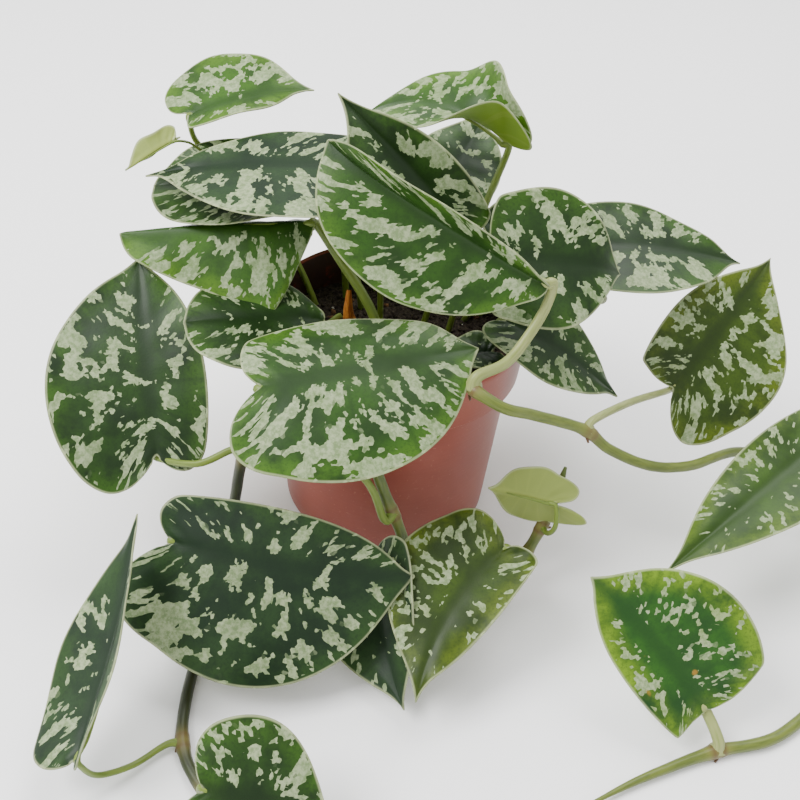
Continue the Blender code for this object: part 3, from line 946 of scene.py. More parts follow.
@dataclass
class Leaf:
    """One leaf: a blade on its petiole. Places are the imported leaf's, or a few millimetres from them.

    The blade runs from base to tip, with its upper side the way that face points, and the petiole runs from
    root through bends to base.
    """

    name: str
    base: Place
    tip: Place
    face: Place
    width: float
    root: Place
    bends: tuple[Place, ...]
    shape: BladeShape
    tone: Tone
    coverage: float = 0.30
    blotch: float = 8.0
    petiole: float = 1.7
    slot: str = "variegated_leaf"
    spotted: bool = False
    pale: bool = False

    stalk: StalkShape = StalkShape()
    rows: int = 56
    columns: int = 11
    crowding: float = 0.85
    thickness: float = 0.7
    vein_pairs: int = 8
    quilt: float = 0.3
    groove_depth: float = 0.55
    groove_reach: float = 1.4
    long_waves: float = 2.3
    short_waves: float = 4.1
    dents: float = 0.9
    bow: float = 0.35
    fullness: float = 0.6
    funnel_end: float = 0.45
    hook_start: float = 0.7

    def __post_init__(self) -> None:
        """Work out the blade's axes and its own random turns."""
        self.along = Vector(self.tip) - Vector(self.base)
        self.length = self.along.length
        self.along.normalize()
        face = Vector(self.face)
        self.up = (face - self.along * face.dot(self.along)).normalized()
        self.across = self.up.cross(self.along)
        self.draws = random.Random(self.name)
        self.phase = self.draws.uniform(0, 10)

    def vein_place(self, t: float, side: int) -> float:
        """Count the lateral veins from the petiole to a place. Those of one half start half a gap on."""
        return t * self.vein_pairs + 0.5 * (side > 0)

    def relief(self, t: float, r: float, side: int, out: float) -> float:
        """Work out the height of the quilting, midrib groove, margin waves and dents.

        Args:
            t: Down the outline, 0 beside the petiole and 1 at the tip.
            r: From 0 on the midrib to 1 on the margin.
            side: 1 or -1 for the blade's halves.
            out: How far out from the midrib the place is.

        Returns:
            The height, in mm.
        """
        bulge = math.sin(math.pi * self.vein_place(t, side)) ** 2
        quilt = self.quilt * bulge * 4 * r * (1 - r) * (1 - t ** 3)
        groove = -self.groove_depth * math.exp(-(out / self.groove_reach) ** 2) * (1 - 0.6 * t)
        wave = math.sin(2 * math.pi * (self.long_waves * t + side * 0.2) + self.phase)
        wave += 0.5 * math.sin(2 * math.pi * (self.short_waves * t - side * 0.3) + 2 * self.phase)
        ends = min(1.0, 5 * (1 - t)) * min(1.0, 0.3 + 3 * t)
        broad = noise.noise(Vector((t * 3.1, side * r * 2.2, self.phase)))
        return quilt + groove + self.shape.wave * wave * r ** 2.2 * ends + self.dents * broad * r

    def point(self, t: float, r: float, side: int) -> tuple[Vector, float]:
        """Find a place on the blade's middle surface.

        Args:
            t: Down the outline, 0 beside the petiole and 1 at the tip.
            r: From 0 on the midrib to 1 on the margin.
            side: 1 or -1 for the blade's halves.

        Returns:
            The place, and how far out from the midrib it is.
        """
        shape = self.shape
        skew = shape.skew * side
        lobe = shape.lobes[0] if side > 0 else shape.lobes[1]
        edge_x, edge_y = half_outline(shape.outline.value, t)
        edge_x = edge_x ** shape.lean if edge_x > 0 else edge_x * lobe
        rib = t ** 1.5
        bow_x = rib + self.bow * (edge_x - rib)
        x = (1 - r) ** 2 * rib + 2 * r * (1 - r) * bow_x + r * r * edge_x
        out = (2 * r * (1 - r) * self.fullness + r * r) * edge_y * self.width * (1 + skew)
        funnel = shape.funnel * max(0.0, 1 - max(x, 0.0) / self.funnel_end) ** 1.5
        fold = math.radians(shape.fold + funnel)
        bend = math.radians(shape.cup) / (self.width / 2) or 1e-5
        turned_to = fold + bend * out
        flat = (math.sin(turned_to) - math.sin(fold)) / bend
        rise = (math.cos(fold) - math.cos(turned_to)) / bend
        inside = min(max(x, 0.0), 1.0)
        flat = side * flat + shape.sweep * self.length * 4 * inside * (1 - inside)
        rise += self.length * shape.arch * 4 * x * (1 - x)
        rise -= self.length * shape.hook * max(0.0, (x - self.hook_start) / (1 - self.hook_start)) ** 2
        rise += self.relief(t, r, side, out)
        return Vector(self.base) + self.along * (x * self.length) + self.across * flat + self.up * rise, out

    def build_blade(self) -> bpy.types.Object:
        """Lay a grid out as the blade, and give it its thickness and rounded margin.

        Returns:
            The blade.
        """
        clear_selection()
        bpy.ops.mesh.primitive_grid_add(x_subdivisions=2 * self.columns, y_subdivisions=self.rows, size=2)
        piece = bpy.context.object
        piece.name = piece.data.name = self.name + "_blade"
        flat, measures = [], []
        for vertex in piece.data.vertices:
            r = abs(vertex.co.x) ** self.crowding
            side = 1 if vertex.co.x < 0 else -1
            t = (vertex.co.y + 1) / 2
            point, out = self.point(t, r, side)
            edge, _ = self.point(t, 1.0, side)
            notch, _ = self.point(0.0, r, side)
            margin = min((edge - point).length * 0.85, (notch - point).length)
            off_vein = 0.5 - abs(self.vein_place(t, side) % 1.0 - 0.5)
            vertex.co = point * MM
            flat.append((0.5 + side * out / MAP_SPAN, t * self.length / MAP_SPAN))
            measures.append((out, margin, off_vein if r > 0.04 else 0.5))
        dress(piece, "blade", flat, "blade_measures", measures)
        finish = BladeFinish(self.name, self.tone, coverage=self.coverage, blotch=self.blotch,
                             seed=self.draws.uniform(0, 40), spotted=self.spotted)
        piece.data.materials.append(finish.upper())
        piece.data.materials.append(finish.under())
        clean_mesh(piece, outward=False)
        apply_modifier(piece, "SOLIDIFY", thickness=self.thickness * MM, offset=0.0, material_offset=1)
        apply_modifier(piece, "SUBSURF", levels=1, render_levels=1)
        piece.data.shade_smooth()
        return piece

    def build_petiole(self, anchor: Vector, skin: bpy.types.Material) -> bpy.types.Object:
        """Run the petiole from the vine or the soil to the blade, and on under the midrib.

        Args:
            anchor: Where the petiole starts, inside the vine or the soil.
            skin: The stem's skin.

        Returns:
            The petiole.
        """
        base, stalk = Vector(self.base), self.stalk
        points = [anchor, Vector(self.root), *(Vector(p) for p in self.bends)]
        for down, on in (stalk.knee_below, stalk.knee_above):
            points.append(base - self.up * down + self.along * on)
        free = len(points) - 1
        slim = min(1.0, self.width / stalk.full_width) * self.petiole
        under = min(slim, stalk.thickest_under)
        for t in stalk.under_stops:
            depth = stalk.under_sink + stalk.under_drop * under * (1 - t)
            points.append(self.point(t, 0, 1)[0] - self.up * depth)
        route = smooth_route(points, stalk.steps)
        radii = []
        for k in range(len(route)):
            reach = k / stalk.steps / free
            left = 1 - (k / stalk.steps - free) / (len(points) - 1 - free)
            radii.append(stalk.free_radius(slim, reach) if reach <= 1 else stalk.under_radius(slim, left))
        stem = Stem(self.name + "_petiole", route, radii, groove=stalk.groove, up=self.up)
        return stem.build(skin)


@dataclass
class Vine:
    """One trailing vine: a stem with a swollen, scarred node at each leaf, and root nubs under them."""

    name: str
    points: tuple[Place, ...]
    radius: float = 2.4
    sides: int = 18
    steps: int = 14
    tip_steps: int = 26
    tip_share: float = 0.3
    sink: float = 7.0

    nub_turns: tuple[float, float] = (-0.8, 0.7)
    nub_reach: tuple[float, float] = (3.6, 4.6)
    nub_slant: tuple[float, float] = (0.5, 2.2)
    nub_stops: tuple[float, float] = (1.0, 2.6)
    nub_radius: float = 0.95
    nub_taper: float = 0.5
    nub_spread: float = 0.3
    nub_hang: float = 1.2
    nub_clearance: tuple[float, float] = (0.6, 0.7)
    nub_tip_height: float = 0.5
    nub_sides: int = 8

    def __post_init__(self) -> None:
        """Start the vine inside the soil and lay out its route."""
        start = Vector(self.points[0])
        self.route = smooth_route([start - Vector((0, 0, self.sink)), *self.points], self.steps)

    def nearest(self, place: Place | Vector) -> Vector:
        """Give the point of the route nearest to a place."""
        return min(self.route, key=lambda point: (point - Vector(place)).length)

    def build(self, roots: list[Vector], skin: bpy.types.Material) -> bpy.types.Object:
        """Build the stem.

        Args:
            roots: The places of its nodes.
            skin: The stem's skin.

        Returns:
            The stem.
        """
        last = len(self.route) - 1
        radii = []
        for k in range(last + 1):
            left = (last - k) / self.tip_steps
            radii.append(self.radius * min(1.0, self.tip_share + (1 - self.tip_share) * left))
        return Stem(self.name + "_stem", self.route, radii, nodes=roots, sides=self.sides).build(skin)

    def nub_route(self, root: Vector, turn: float, draws: random.Random) -> list[Vector]:
        """Lead a root nub out of the lower side of a node, no lower than the surface.

        Args:
            root: The node's place.
            turn: How far round the stem the nub starts, in radians.
            draws: The vine's random draws.

        Returns:
            The nub's route.
        """
        k = self.route.index(root)
        along = (self.route[min(k + 3, len(self.route) - 1)] - self.route[max(k - 3, 0)]).normalized()
        aside = along.cross(Vector((0, 0, 1)))
        spin = Matrix.Rotation(turn + draws.uniform(-self.nub_spread, self.nub_spread), 3, along)
        out = (spin @ aside.cross(along)).normalized()
        out = out if out.z < 0 else -out
        tip = root + out * draws.uniform(*self.nub_reach) + along * draws.uniform(*self.nub_slant)
        least, most = self.nub_clearance
        lowest = min(max(root.z - self.nub_hang, least), most)
        tip.z = max(tip.z, self.nub_tip_height)
        route = smooth_route([*(root + out * stop for stop in self.nub_stops), tip], 4)
        return [Vector((p.x, p.y, max(p.z, lowest))) for p in route]

    def build_nubs(self, roots: list[Vector], skin: bpy.types.Material) -> bpy.types.Object:
        """Build the brown root nubs, two under each node, as one piece.

        Args:
            roots: The places of the vine's nodes.
            skin: The nubs' skin.

        Returns:
            The joined nubs.
        """
        draws = random.Random(self.name)
        made = []
        for root in roots:
            for turn in self.nub_turns:
                route = self.nub_route(root, turn, draws)
                radii = [self.nub_radius - self.nub_taper * n / (len(route) - 1) for n in range(len(route))]
                made.append(Stem(self.name + "_nub", route, radii, sides=self.nub_sides).build(skin))
        only(made[0])
        for nub in made:
            nub.select_set(True)
        bpy.ops.object.join()
        made[0].name = self.name + "_root_nubs"
        return made[0]


@dataclass
class Pot:
    """The tapered pot with its collar, drawn up ring by ring from the middle of its underside."""

    height: float = 107.0
    rim_radius: float = 60.0
    base_radius: float = 50.5
    collar_foot: float = 83.0
    shoulder_radius: float = 54.5
    wall: float = 1.6
    floor: float = 2.6
    drain_holes: int = 6
    drain_radius: float = 4.0
    drain_ring: float = 0.72
    drain_sides: int = 32
    sides: int = 128
    collar_inset: float = 1.8
    lip: float = 0.6
    undarkened_band: float = 4.0
    smooth_under: float = 32.0

    # Steps from the base's radius, with heights, round the foot.
    foot_rings: tuple[tuple[float, float], ...] = (
        (-6.0, 1.2), (-4.6, 0.15), (-1.6, 0.0), (-0.45, 0.45), (0, 1.6))
    # Heights of the rings on the tapered wall.
    wall_heights: tuple[float, ...] = (9, 9.5, 10.1, 10.6, 40, 62, 80)
    # Steps up from the collar's foot.
    collar_heights: tuple[float, ...] = (4, 10, 16)
    # Steps from the rim's radius and from its top, round the rolled lip.
    lip_rings: tuple[tuple[float, float], ...] = (
        (-0.6, -3.4), (-0.1, -2.8), (0, -1.9), (-0.1, -0.7),
        (-0.7, -0.1), (-1.4, 0), (-2.1, -0.25), (-2.4, -0.9))

    def outline(self) -> list[tuple[float, float]]:
        """List the rings up the outside and down the inside.

        Returns:
            Each ring's radius and height.
        """
        taper = (self.shoulder_radius - self.base_radius) / self.collar_foot
        base, shoulder, collar = self.base_radius, self.shoulder_radius, self.collar_foot
        rim, top, wall = self.rim_radius, self.height, self.wall
        foot = rim - self.collar_inset
        lean = (rim - self.lip - foot) / (top - collar)
        rings = [(base + step, height) for step, height in self.foot_rings]
        rings += [(base + taper * height, height) for height in self.wall_heights]
        rings += [(shoulder, collar - 1.2), (shoulder + 0.5, collar - 0.2)]
        rings += [(foot - 0.6, collar + 0.1), (foot, collar + 0.8)]
        rings += [(foot + lean * step, collar + step) for step in self.collar_heights]
        rings += [(rim + step, top + drop) for step, drop in self.lip_rings]
        rings += [(foot - wall, collar + 3), (shoulder - wall, collar)]
        rings += [(base - wall, self.floor + 1.2), (base - wall - 1.2, self.floor)]
        return rings

    def build_shell(self) -> bpy.types.Object:
        """Draw the shell up from a disc by extruding its edge.

        Returns:
            The closed shell.
        """
        clear_selection()
        rings = self.outline()
        radius, height = rings[0]
        bpy.ops.mesh.primitive_circle_add(vertices=self.sides, radius=radius * MM, fill_type="NGON",
                                          location=(0, 0, height * MM))
        piece = bpy.context.object
        piece.name = piece.data.name = "nursery_pot"
        bpy.ops.object.transform_apply(location=True)
        bpy.ops.object.mode_set(mode="EDIT")
        bpy.ops.mesh.select_mode(type="EDGE")
        bpy.ops.mesh.select_all(action="DESELECT")
        bpy.ops.mesh.select_non_manifold()
        for (near, low), (far, high) in zip(rings, rings[1:]):
            bpy.ops.mesh.extrude_edges_move(TRANSFORM_OT_translate={"value": (0, 0, (high - low) * MM)})
            bpy.ops.transform.resize(value=(far / near, far / near, 1), center_override=(0, 0, high * MM))
        bpy.ops.mesh.edge_face_add()
        bpy.ops.object.mode_set(mode="OBJECT")
        clean_mesh(piece)
        return piece

    def drill(self, piece: bpy.types.Object) -> None:
        """Cut the drain holes through the floor.

        Args:
            piece: The shell.
        """
        reach = self.base_radius * self.drain_ring
        for k in range(self.drain_holes):
            angle = 2 * math.pi * (k + 0.25) / self.drain_holes
            clear_selection()
            bpy.ops.mesh.primitive_cylinder_add(
                vertices=self.drain_sides, radius=self.drain_radius * MM, depth=5 * self.floor * MM,
                location=(reach * math.cos(angle) * MM, reach * math.sin(angle) * MM, 0))
            cutter = bpy.context.object
            apply_modifier(piece, "BOOLEAN", operation="DIFFERENCE", object=cutter, solver="EXACT")
            bpy.data.objects.remove(cutter)

    def build(self) -> bpy.types.Object:
        """Build the pot and dress it. Its inner wall is dark brown below the lip.

        Returns:
            The pot.
        """
        piece = self.build_shell()
        self.drill(piece)
        piece.data.materials.append(PotFinish().build())
        piece.data.materials.append(PotFinish("stained_inner_skin", darkened_inside=True).build())
        for face in piece.data.polygons:
            inward = face.normal.x * face.center.x + face.normal.y * face.center.y < 0
            face.material_index = 1 if inward and face.center.z < (self.height - self.undarkened_band) * MM else 0
        only(piece)
        bpy.ops.object.shade_smooth_by_angle(angle=math.radians(self.smooth_under))
        return settle(piece, "terracotta_plastic", "pot")


@dataclass
class Soil:
    """The mound of soil, with crumbs, perlite and bark on it."""

    collar: float = 56.2
    shoulder: float = 52.5
    shoulder_height: float = 83.0
    bottom: float = 3.0
    bottom_radius: float = 48.5
    edge_height: float = 88.0
    crown_height: float = 92.0
    around: int = 200
    top_rows: int = 60
    swell: float = 1.3
    swell_scale: float = 0.16
    lumps: float = 0.75
    lump_scale: float = 0.45
    crumb_dents: float = 0.45
    crumb_scale: float = 3.1
    crumb_lift: float = 0.25

    def height(self, radius: float) -> float:
        """Give the mound's height at a distance from its middle."""
        share = min(radius / self.collar, 1.0)
        return self.crown_height - (self.crown_height - self.edge_height) * share ** 2.1

    def uneven(self, spot: Vector) -> float:
        """Give how far the mound swells up or down at a place."""
        return noise.noise(spot * self.swell_scale) * self.swell

    def build_mound(self) -> bpy.types.Object:
        """Wrap a grid into the closed mound and roughen its top.

        Returns:
            The mound.
        """
        walls = [(self.collar, self.edge_height - 2), (self.shoulder, self.shoulder_height),
                 (self.bottom_radius, self.bottom), (0.0, self.bottom)]
        rows = self.top_rows + len(walls)
        clear_selection()
        bpy.ops.mesh.primitive_grid_add(x_subdivisions=self.around, y_subdivisions=rows, size=2)
        piece = bpy.context.object
        piece.name = piece.data.name = "soil_mound"
        for vertex in piece.data.vertices:
            k = round((vertex.co.y + 1) / 2 * rows)
            turn = math.pi * vertex.co.x
            if k <= self.top_rows:
                radius = self.collar * k / self.top_rows
                spot = Vector((radius * math.cos(turn), radius * math.sin(turn), 0))
                lumps = noise.fractal(spot * self.lump_scale, 1.0, 2.0, 4) * self.lumps
                z = self.height(radius) + self.uneven(spot) + lumps
            else:
                radius, z = walls[k - self.top_rows - 1]
                spot = Vector((radius * math.cos(turn), radius * math.sin(turn), 0))
            vertex.co = Vector((spot.x, spot.y, z)) * MM
        piece.data.materials.append(EarthFinish(Earth.PEAT).build())
        clean_mesh(piece)
        piece.data.shade_smooth()
        return settle(piece, "dark_soil", "soil")

    def scatter(self, name: str, kind: Earth, count: int, size: tuple[float, float],
                flatness: float) -> None:
        """Model one crumb and set copies of it about on the mound, as one piece.

        Args:
            name: The piece's name.
            kind: What the crumbs are.
            count: How many there are.
            size: The least and the most length of one, in mm.
            flatness: The share of its length that its thickness is.
        """
        draws = random.Random(name)
        clear_selection()
        bpy.ops.mesh.primitive_ico_sphere_add(subdivisions=1, radius=0.5)
        crumb = bpy.context.object
        for vertex in crumb.data.vertices:
            vertex.co *= 1 + self.crumb_dents * noise.noise(vertex.co * self.crumb_scale)
        shape = [v.co.copy() for v in crumb.data.vertices]
        faces = [tuple(p.vertices) for p in crumb.data.polygons]
        points, sides = [], []
        for _ in range(count):
            radius = (self.collar - 2) * math.sqrt(draws.random())
            angle = draws.uniform(0, 2 * math.pi)
            long = draws.uniform(*size)
            turned = Matrix.Rotation(draws.uniform(0, 6.3), 3, "Z")
            tipped = Matrix.Rotation(draws.uniform(-0.5, 0.5), 3, "X")
            wide = long * draws.uniform(0.5, 0.9)
            grow = Matrix.Diagonal((long, wide, long * flatness * draws.uniform(0.7, 1.3)))
            middle = Vector((radius * math.cos(angle), radius * math.sin(angle), 0))
            middle.z = self.height(radius) + self.uneven(middle) + self.crumb_lift
            sides += [tuple(n + len(points) for n in face) for face in faces]
            points += [(middle + turned @ tipped @ grow @ point) * MM for point in shape]
        bpy.data.objects.remove(crumb)
        mesh = bpy.data.meshes.new(name)
        mesh.from_pydata(points, [], sides)
        piece = bpy.data.objects.new(name, mesh)
        bpy.context.collection.objects.link(piece)
        mesh.materials.append(EarthFinish(kind).build())
        clean_mesh(piece)
        mesh.shade_smooth()
        settle(piece, "dark_soil")

    def build(self) -> None:
        """Build the mound and what lies on it."""
        self.build_mound()
        self.scatter("soil_crumbs", Earth.PEAT, 900, (1.0, 3.4), 0.7)
        self.scatter("perlite_grains", Earth.PERLITE, 26, (0.9, 2.2), 0.8)
        self.scatter("bark_chips", Earth.BARK, 60, (2.2, 5.5), 0.35)


@dataclass
class DriedSheath:
    """A dry papery sheath curled round a young petiole's foot."""

    points: tuple[Place, ...] = ((-20, -3, 90), (-21, -4, 100), (-22, -5, 108), (-22, -5, 119))
    width: float = 9.0
    taper: float = 0.8
    curl: float = 2.2
    curl_change: float = 0.6
    wobble: float = 0.25
    thickness: float = 0.25
    rows: int = 30
    columns: int = 10

    def build(self) -> bpy.types.Object:
        """Curl a strip along its route, and give it a thin wall.

        Returns:
            The sheath.
        """
        route = smooth_route(self.points, 10)
        clear_selection()
        bpy.ops.mesh.primitive_grid_add(x_subdivisions=self.columns, y_subdivisions=self.rows, size=2)
        piece = bpy.context.object
        piece.name = piece.data.name = "dried_sheath_curl"
        flat, measures = [], []
        for vertex in piece.data.vertices:
            t = (vertex.co.y + 1) / 2
            k = round(t * (len(route) - 1))
            wide = self.width * (1 - self.taper * t) * 0.5
            turn = vertex.co.x * (self.curl + self.curl_change * math.sin(5 * t))
            wobble = self.wobble * noise.noise(Vector((vertex.co.x * 2, t * 7, 0)))
            side = Vector((math.sin(turn), -math.cos(turn), 0.1 * vertex.co.x)) * (wide + wobble)
            flat.append((0.5 + vertex.co.x * wide / MAP_SPAN, t * 0.3))
            measures.append((0.0, 0.0, 0.0))
            vertex.co = (route[k] + side) * MM
        dress(piece, "stem", flat, "stem_measures", measures)
        piece.data.materials.append(PaperFinish().build())
        apply_modifier(piece, "SOLIDIFY", thickness=self.thickness * MM, offset=0.0)
        apply_modifier(piece, "SUBSURF", levels=1, render_levels=1)
        piece.data.shade_smooth()
        return settle(piece, "dried_sheath", "dried_sheath")


# For each leaf: the blade's base, tip, facing and width, the petiole's root and bends, then the looks.
LEAVES = (
    Leaf("vine_left_leaf_1", (-97, -65, 66), (-115, -2, 124), (0, -0.66, 0.75), 69, (-64, -67, 75),
         ((-78, -71, 69),), BladeShape(cup=8, arch=0.04, skew=0.26, lobes=(1.2, 0.7), outline=Outline.BROAD),
         Tone.DEEP, 0.36, 8),
    Leaf("vine_left_leaf_2", (-82, -104, 57), (17, -102, 46), (0, -0.7, 0.72), 74, (-71, -81, 27),
         ((-82, -90, 42),),
         BladeShape(cup=-6, arch=0.05, skew=-0.38, sweep=-0.03, lobes=(0.5, 1.5), outline=Outline.BROAD),
         Tone.BLUISH, 0.3, 9),
    Leaf("vine_left_leaf_3", (-101, -184, 26), (-93, -108, 76), (-0.7, -0.5, 0.5), 34, (-75, -162, 4),
         ((-85, -172, 5), (-95, -181, 12)), BladeShape(fold=16, arch=-0.04, lobes=(0.4, 0.2), skew=0.5),
         Tone.BLUISH, 0.3, 7),
    Leaf("vine_left_leaf_4", (-52, -193, 31), (-5, -194, 19), (0, -0.63, 0.78), 54, (-56, -182, 6),
         ((-55, -188, 16),), BladeShape(arch=0.04, skew=0.1), Tone.DEEP, 0.24, 6),
    Leaf("vine_front_leaf_1", (-50, -73, 116), (35, -40, 119), (-0.04, -0.34, 0.94), 74, (2, -83, 58),
         ((-6, -80, 76), (-29, -75, 98), (-43, -72, 108)),
         BladeShape(cup=-22, arch=0.05, skew=-0.22, sweep=-0.03, lobes=(0.4, 1.3), outline=Outline.BROAD),
         Tone.MIDDLE, 0.44, 8, petiole=1.9),
    Leaf("vine_front_leaf_2", (0, -87, 42), (17, -141, 9), (-0.4, -0.85, 0.35), 50, (10, -87, 27),
         (), BladeShape(fold=8, skew=-0.2, sweep=-0.05, lobes=(0.5, 0.7)), Tone.BLUISH, 0.32, 7),
    Leaf("vine_front_leaf_3", (54, -87, 52), (21, -144, 20), (-0.3, -0.69, 0.67), 52, (65, -72, 28),
         ((62, -80, 40),), BladeShape(fold=3, arch=0.03, skew=-0.3, sweep=-0.08, lobes=(0.4, 0.9)),
         Tone.OLIVE, 0.2, 5),
    Leaf("vine_front_leaf_4", (75, -61, 54), (46, -60, 59), (0, 0.93, -0.37), 30, (75, -66, 40),
         ((77, -68, 47),), BladeShape(fold=24, lobes=(2.8, 4.6), wave=1.3), Tone.YOUNG, 0.2, 5,
         slot="young_leaf"),
    Leaf("vine_right_leaf_1", (59, -38, 150), (-34, -12, 189), (-0.33, -0.94, 0.02), 52, (35, -57, 118),
         ((47, -50, 122), (58, -38, 136)),
         BladeShape(fold=30, arch=0.02, skew=0.42, hook=0.05, lobes=(0.3, 0.3), outline=Outline.OVAL),
         Tone.MIDDLE, 0.44, 9, petiole=2.5, pale=True),
    Leaf("vine_right_leaf_2", (134, 5, 72), (178, 54, 119), (0.11, -0.82, 0.57), 68, (88, -43, 88),
         ((108, -22, 83),), BladeShape(fold=8, arch=0.03, skew=-0.22, lobes=(0.15, 1.6)),
         Tone.OLIVE, 0.32, 7, petiole=2.1, pale=True),
    Leaf("vine_right_leaf_3", (211, -7, 64), (124, -85, 43), (-0.25, -0.32, 0.92), 46, (211, 8, 32),
         ((213, 4, 48),), BladeShape(fold=10, skew=0.1), Tone.LIME, 0.14, 5),
    Leaf("vine_right_leaf_4", (139, -134, 17), (88, -101, 54), (0.11, -0.82, 0.57), 57, (145, -141, 8),
         (), BladeShape(fold=6, arch=0.03, skew=-0.3, sweep=-0.03, lobes=(0.0, 0.3), outline=Outline.BROAD),
         Tone.BRIGHT, 0.16, 4, petiole=2.6, spotted=True, pale=True),
    Leaf("crown_leaf_01", (39, -10, 145), (97, 0, 137), (0, -0.7, 0.72), 62, (24, 8, 92),
         ((30, 6, 125),), BladeShape(fold=6, arch=0.08, hook=0.1, lobes=(0.4, 0.4), lean=0.8),
         Tone.DEEP, 0.36, 8),
    Leaf("crown_leaf_02", (80, 34, 128), (165, 55, 114), (-0.04, -0.34, 0.94), 56, (32, 20, 91.5),
         ((53, 20, 120),), BladeShape(fold=6, arch=0.05, skew=-0.1), Tone.DEEP, 0.46, 8),
    Leaf("crown_leaf_03", (47, -14, 116), (105, -10, 76), (0.06, -0.33, 0.94), 42, (46, 8, 91),
         ((51, 0, 110),), BladeShape(fold=5, arch=0.05), Tone.DEEP, 0.36, 7),
    Leaf("crown_leaf_04", (26, 3, 146), (-31, 13, 200), (-0.13, -0.61, 0.78), 56, (12, 8, 92.5),
         ((19, 10, 124),), BladeShape(fold=24, arch=0.04, lobes=(0.4, 0.2), skew=0.36), Tone.DEEP, 0.44, 8),
    Leaf("crown_leaf_05", (-27, 9, 170), (-115, 20, 152), (-0.05, -0.23, 0.97), 59, (-8, 12, 92.5),
         ((-12, 14, 140),), BladeShape(fold=6, arch=0.04, skew=0.3, lobes=(0.8, 0.3), lean=1.25),
         Tone.BLUISH, 0.46, 9),
    Leaf("crown_leaf_06", (-34, 24, 152), (-115, 30, 142), (-0.07, -0.3, 0.95), 56, (-18, 22, 92),
         ((-24, 24, 126),), BladeShape(fold=8, arch=0.03, skew=0.1, lobes=(0.4, 0.4), outline=Outline.OVAL),
         Tone.DEEP, 0.34, 7),
    Leaf("crown_leaf_07", (-39, 6, 145), (-123, 0, 134), (0, -0.18, 0.98), 64, (-4, -14, 92.5),
         ((-12, -8, 112), (-28, 1, 132)),
         BladeShape(fold=-40, arch=0.02, skew=0.34, lobes=(0.2, 0.2), outline=Outline.CORNERED),
         Tone.FRESH, 0.4, 8, petiole=2.6),
    Leaf("crown_leaf_08", (-31, -18, 110.5), (-90, -30, 111.5), (-0.05, -0.3, 0.95), 52, (-30, 4, 92),
         ((-26, -2, 102),), BladeShape(fold=4, arch=0.05, skew=0.1, lobes=(0.6, 0.6), outline=Outline.OVAL),
         Tone.DEEP, 0.3, 6),
    Leaf("crown_leaf_09", (-99, 42, 172), (-45, 52, 184), (-0.05, -0.27, 0.96), 44, (-26, 30, 91.5),
         ((-30, 31, 118), (-48, 52, 144), (-93, 50, 151)),
         BladeShape(fold=5, arch=0.06, skew=0.45, lobes=(1.5, 0.2)), Tone.FRESH, 0.44, 7),
    Leaf("crown_leaf_10", (-104, 31, 165), (-123, 18, 155), (0.17, 0.92, 0.35), 16, (-95, 44, 154),
         ((-99, 39, 160),), BladeShape(fold=50), Tone.YOUNG, 0.3, 6, slot="young_leaf"),
    Leaf("crown_leaf_11", (40, 29, 178), (-22, 60, 172), (-0.05, -0.2, 0.98), 54, (18, 26, 91.5),
         ((29, 28, 125), (37, 31, 154)), BladeShape(fold=8, arch=0.17, funnel=72, lobes=(1.4, 1.2)),
         Tone.FRESH, 0.46, 7, petiole=1.9),
    Leaf("crown_leaf_12", (15, 44, 140), (34, 89, 165), (0, -0.63, 0.78), 44, (4, 36, 91.5),
         ((8, 42, 120),), BladeShape(fold=8), Tone.DEEP, 0.4, 7),
    Leaf("crown_leaf_13", (54, 40, 129), (32, 34, 137), (0, -0.63, 0.78), 30, (20, 38, 91.5),
         ((30, 41, 118),), BladeShape(fold=8), Tone.DEEP, 0.3, 7),
    Leaf("crown_leaf_14", (44, -13, 98), (21, -25, 100), (-0.05, -0.23, 0.97), 24, (42, -4, 91),
         (), BladeShape(fold=8), Tone.DEEP, 0.3, 6),
    Leaf("crown_leaf_15", (-21, 55, 119), (-60, 112, 72), (-0.3, 0.5, 0.8), 60, (-12, 40, 91),
         ((-16, 44, 112),), BladeShape(fold=6, arch=0.06, skew=0.1), Tone.DEEP, 0.4, 8),
    Leaf("crown_leaf_16", (14, 60, 124), (26, 124, 78), (0.1, 0.55, 0.83), 62, (14, 45, 90.5),
         ((14, 50, 112),), BladeShape(fold=6, arch=0.06), Tone.MIDDLE, 0.4, 8),
    Leaf("crown_leaf_17", (59, 42, 114), (103, 90, 58), (0.5, 0.4, 0.77), 56, (40, 28, 91),
         ((47, 34, 111.5),), BladeShape(fold=6, arch=0.06, skew=-0.1), Tone.DEEP, 0.4, 8),
    Leaf("crown_leaf_18", (-60, 32, 113), (-114, 66, 66), (-0.45, 0.3, 0.85), 56, (-40, 22, 91),
         ((-50, 27, 111),), BladeShape(fold=6, arch=0.06), Tone.FRESH, 0.4, 8),
)

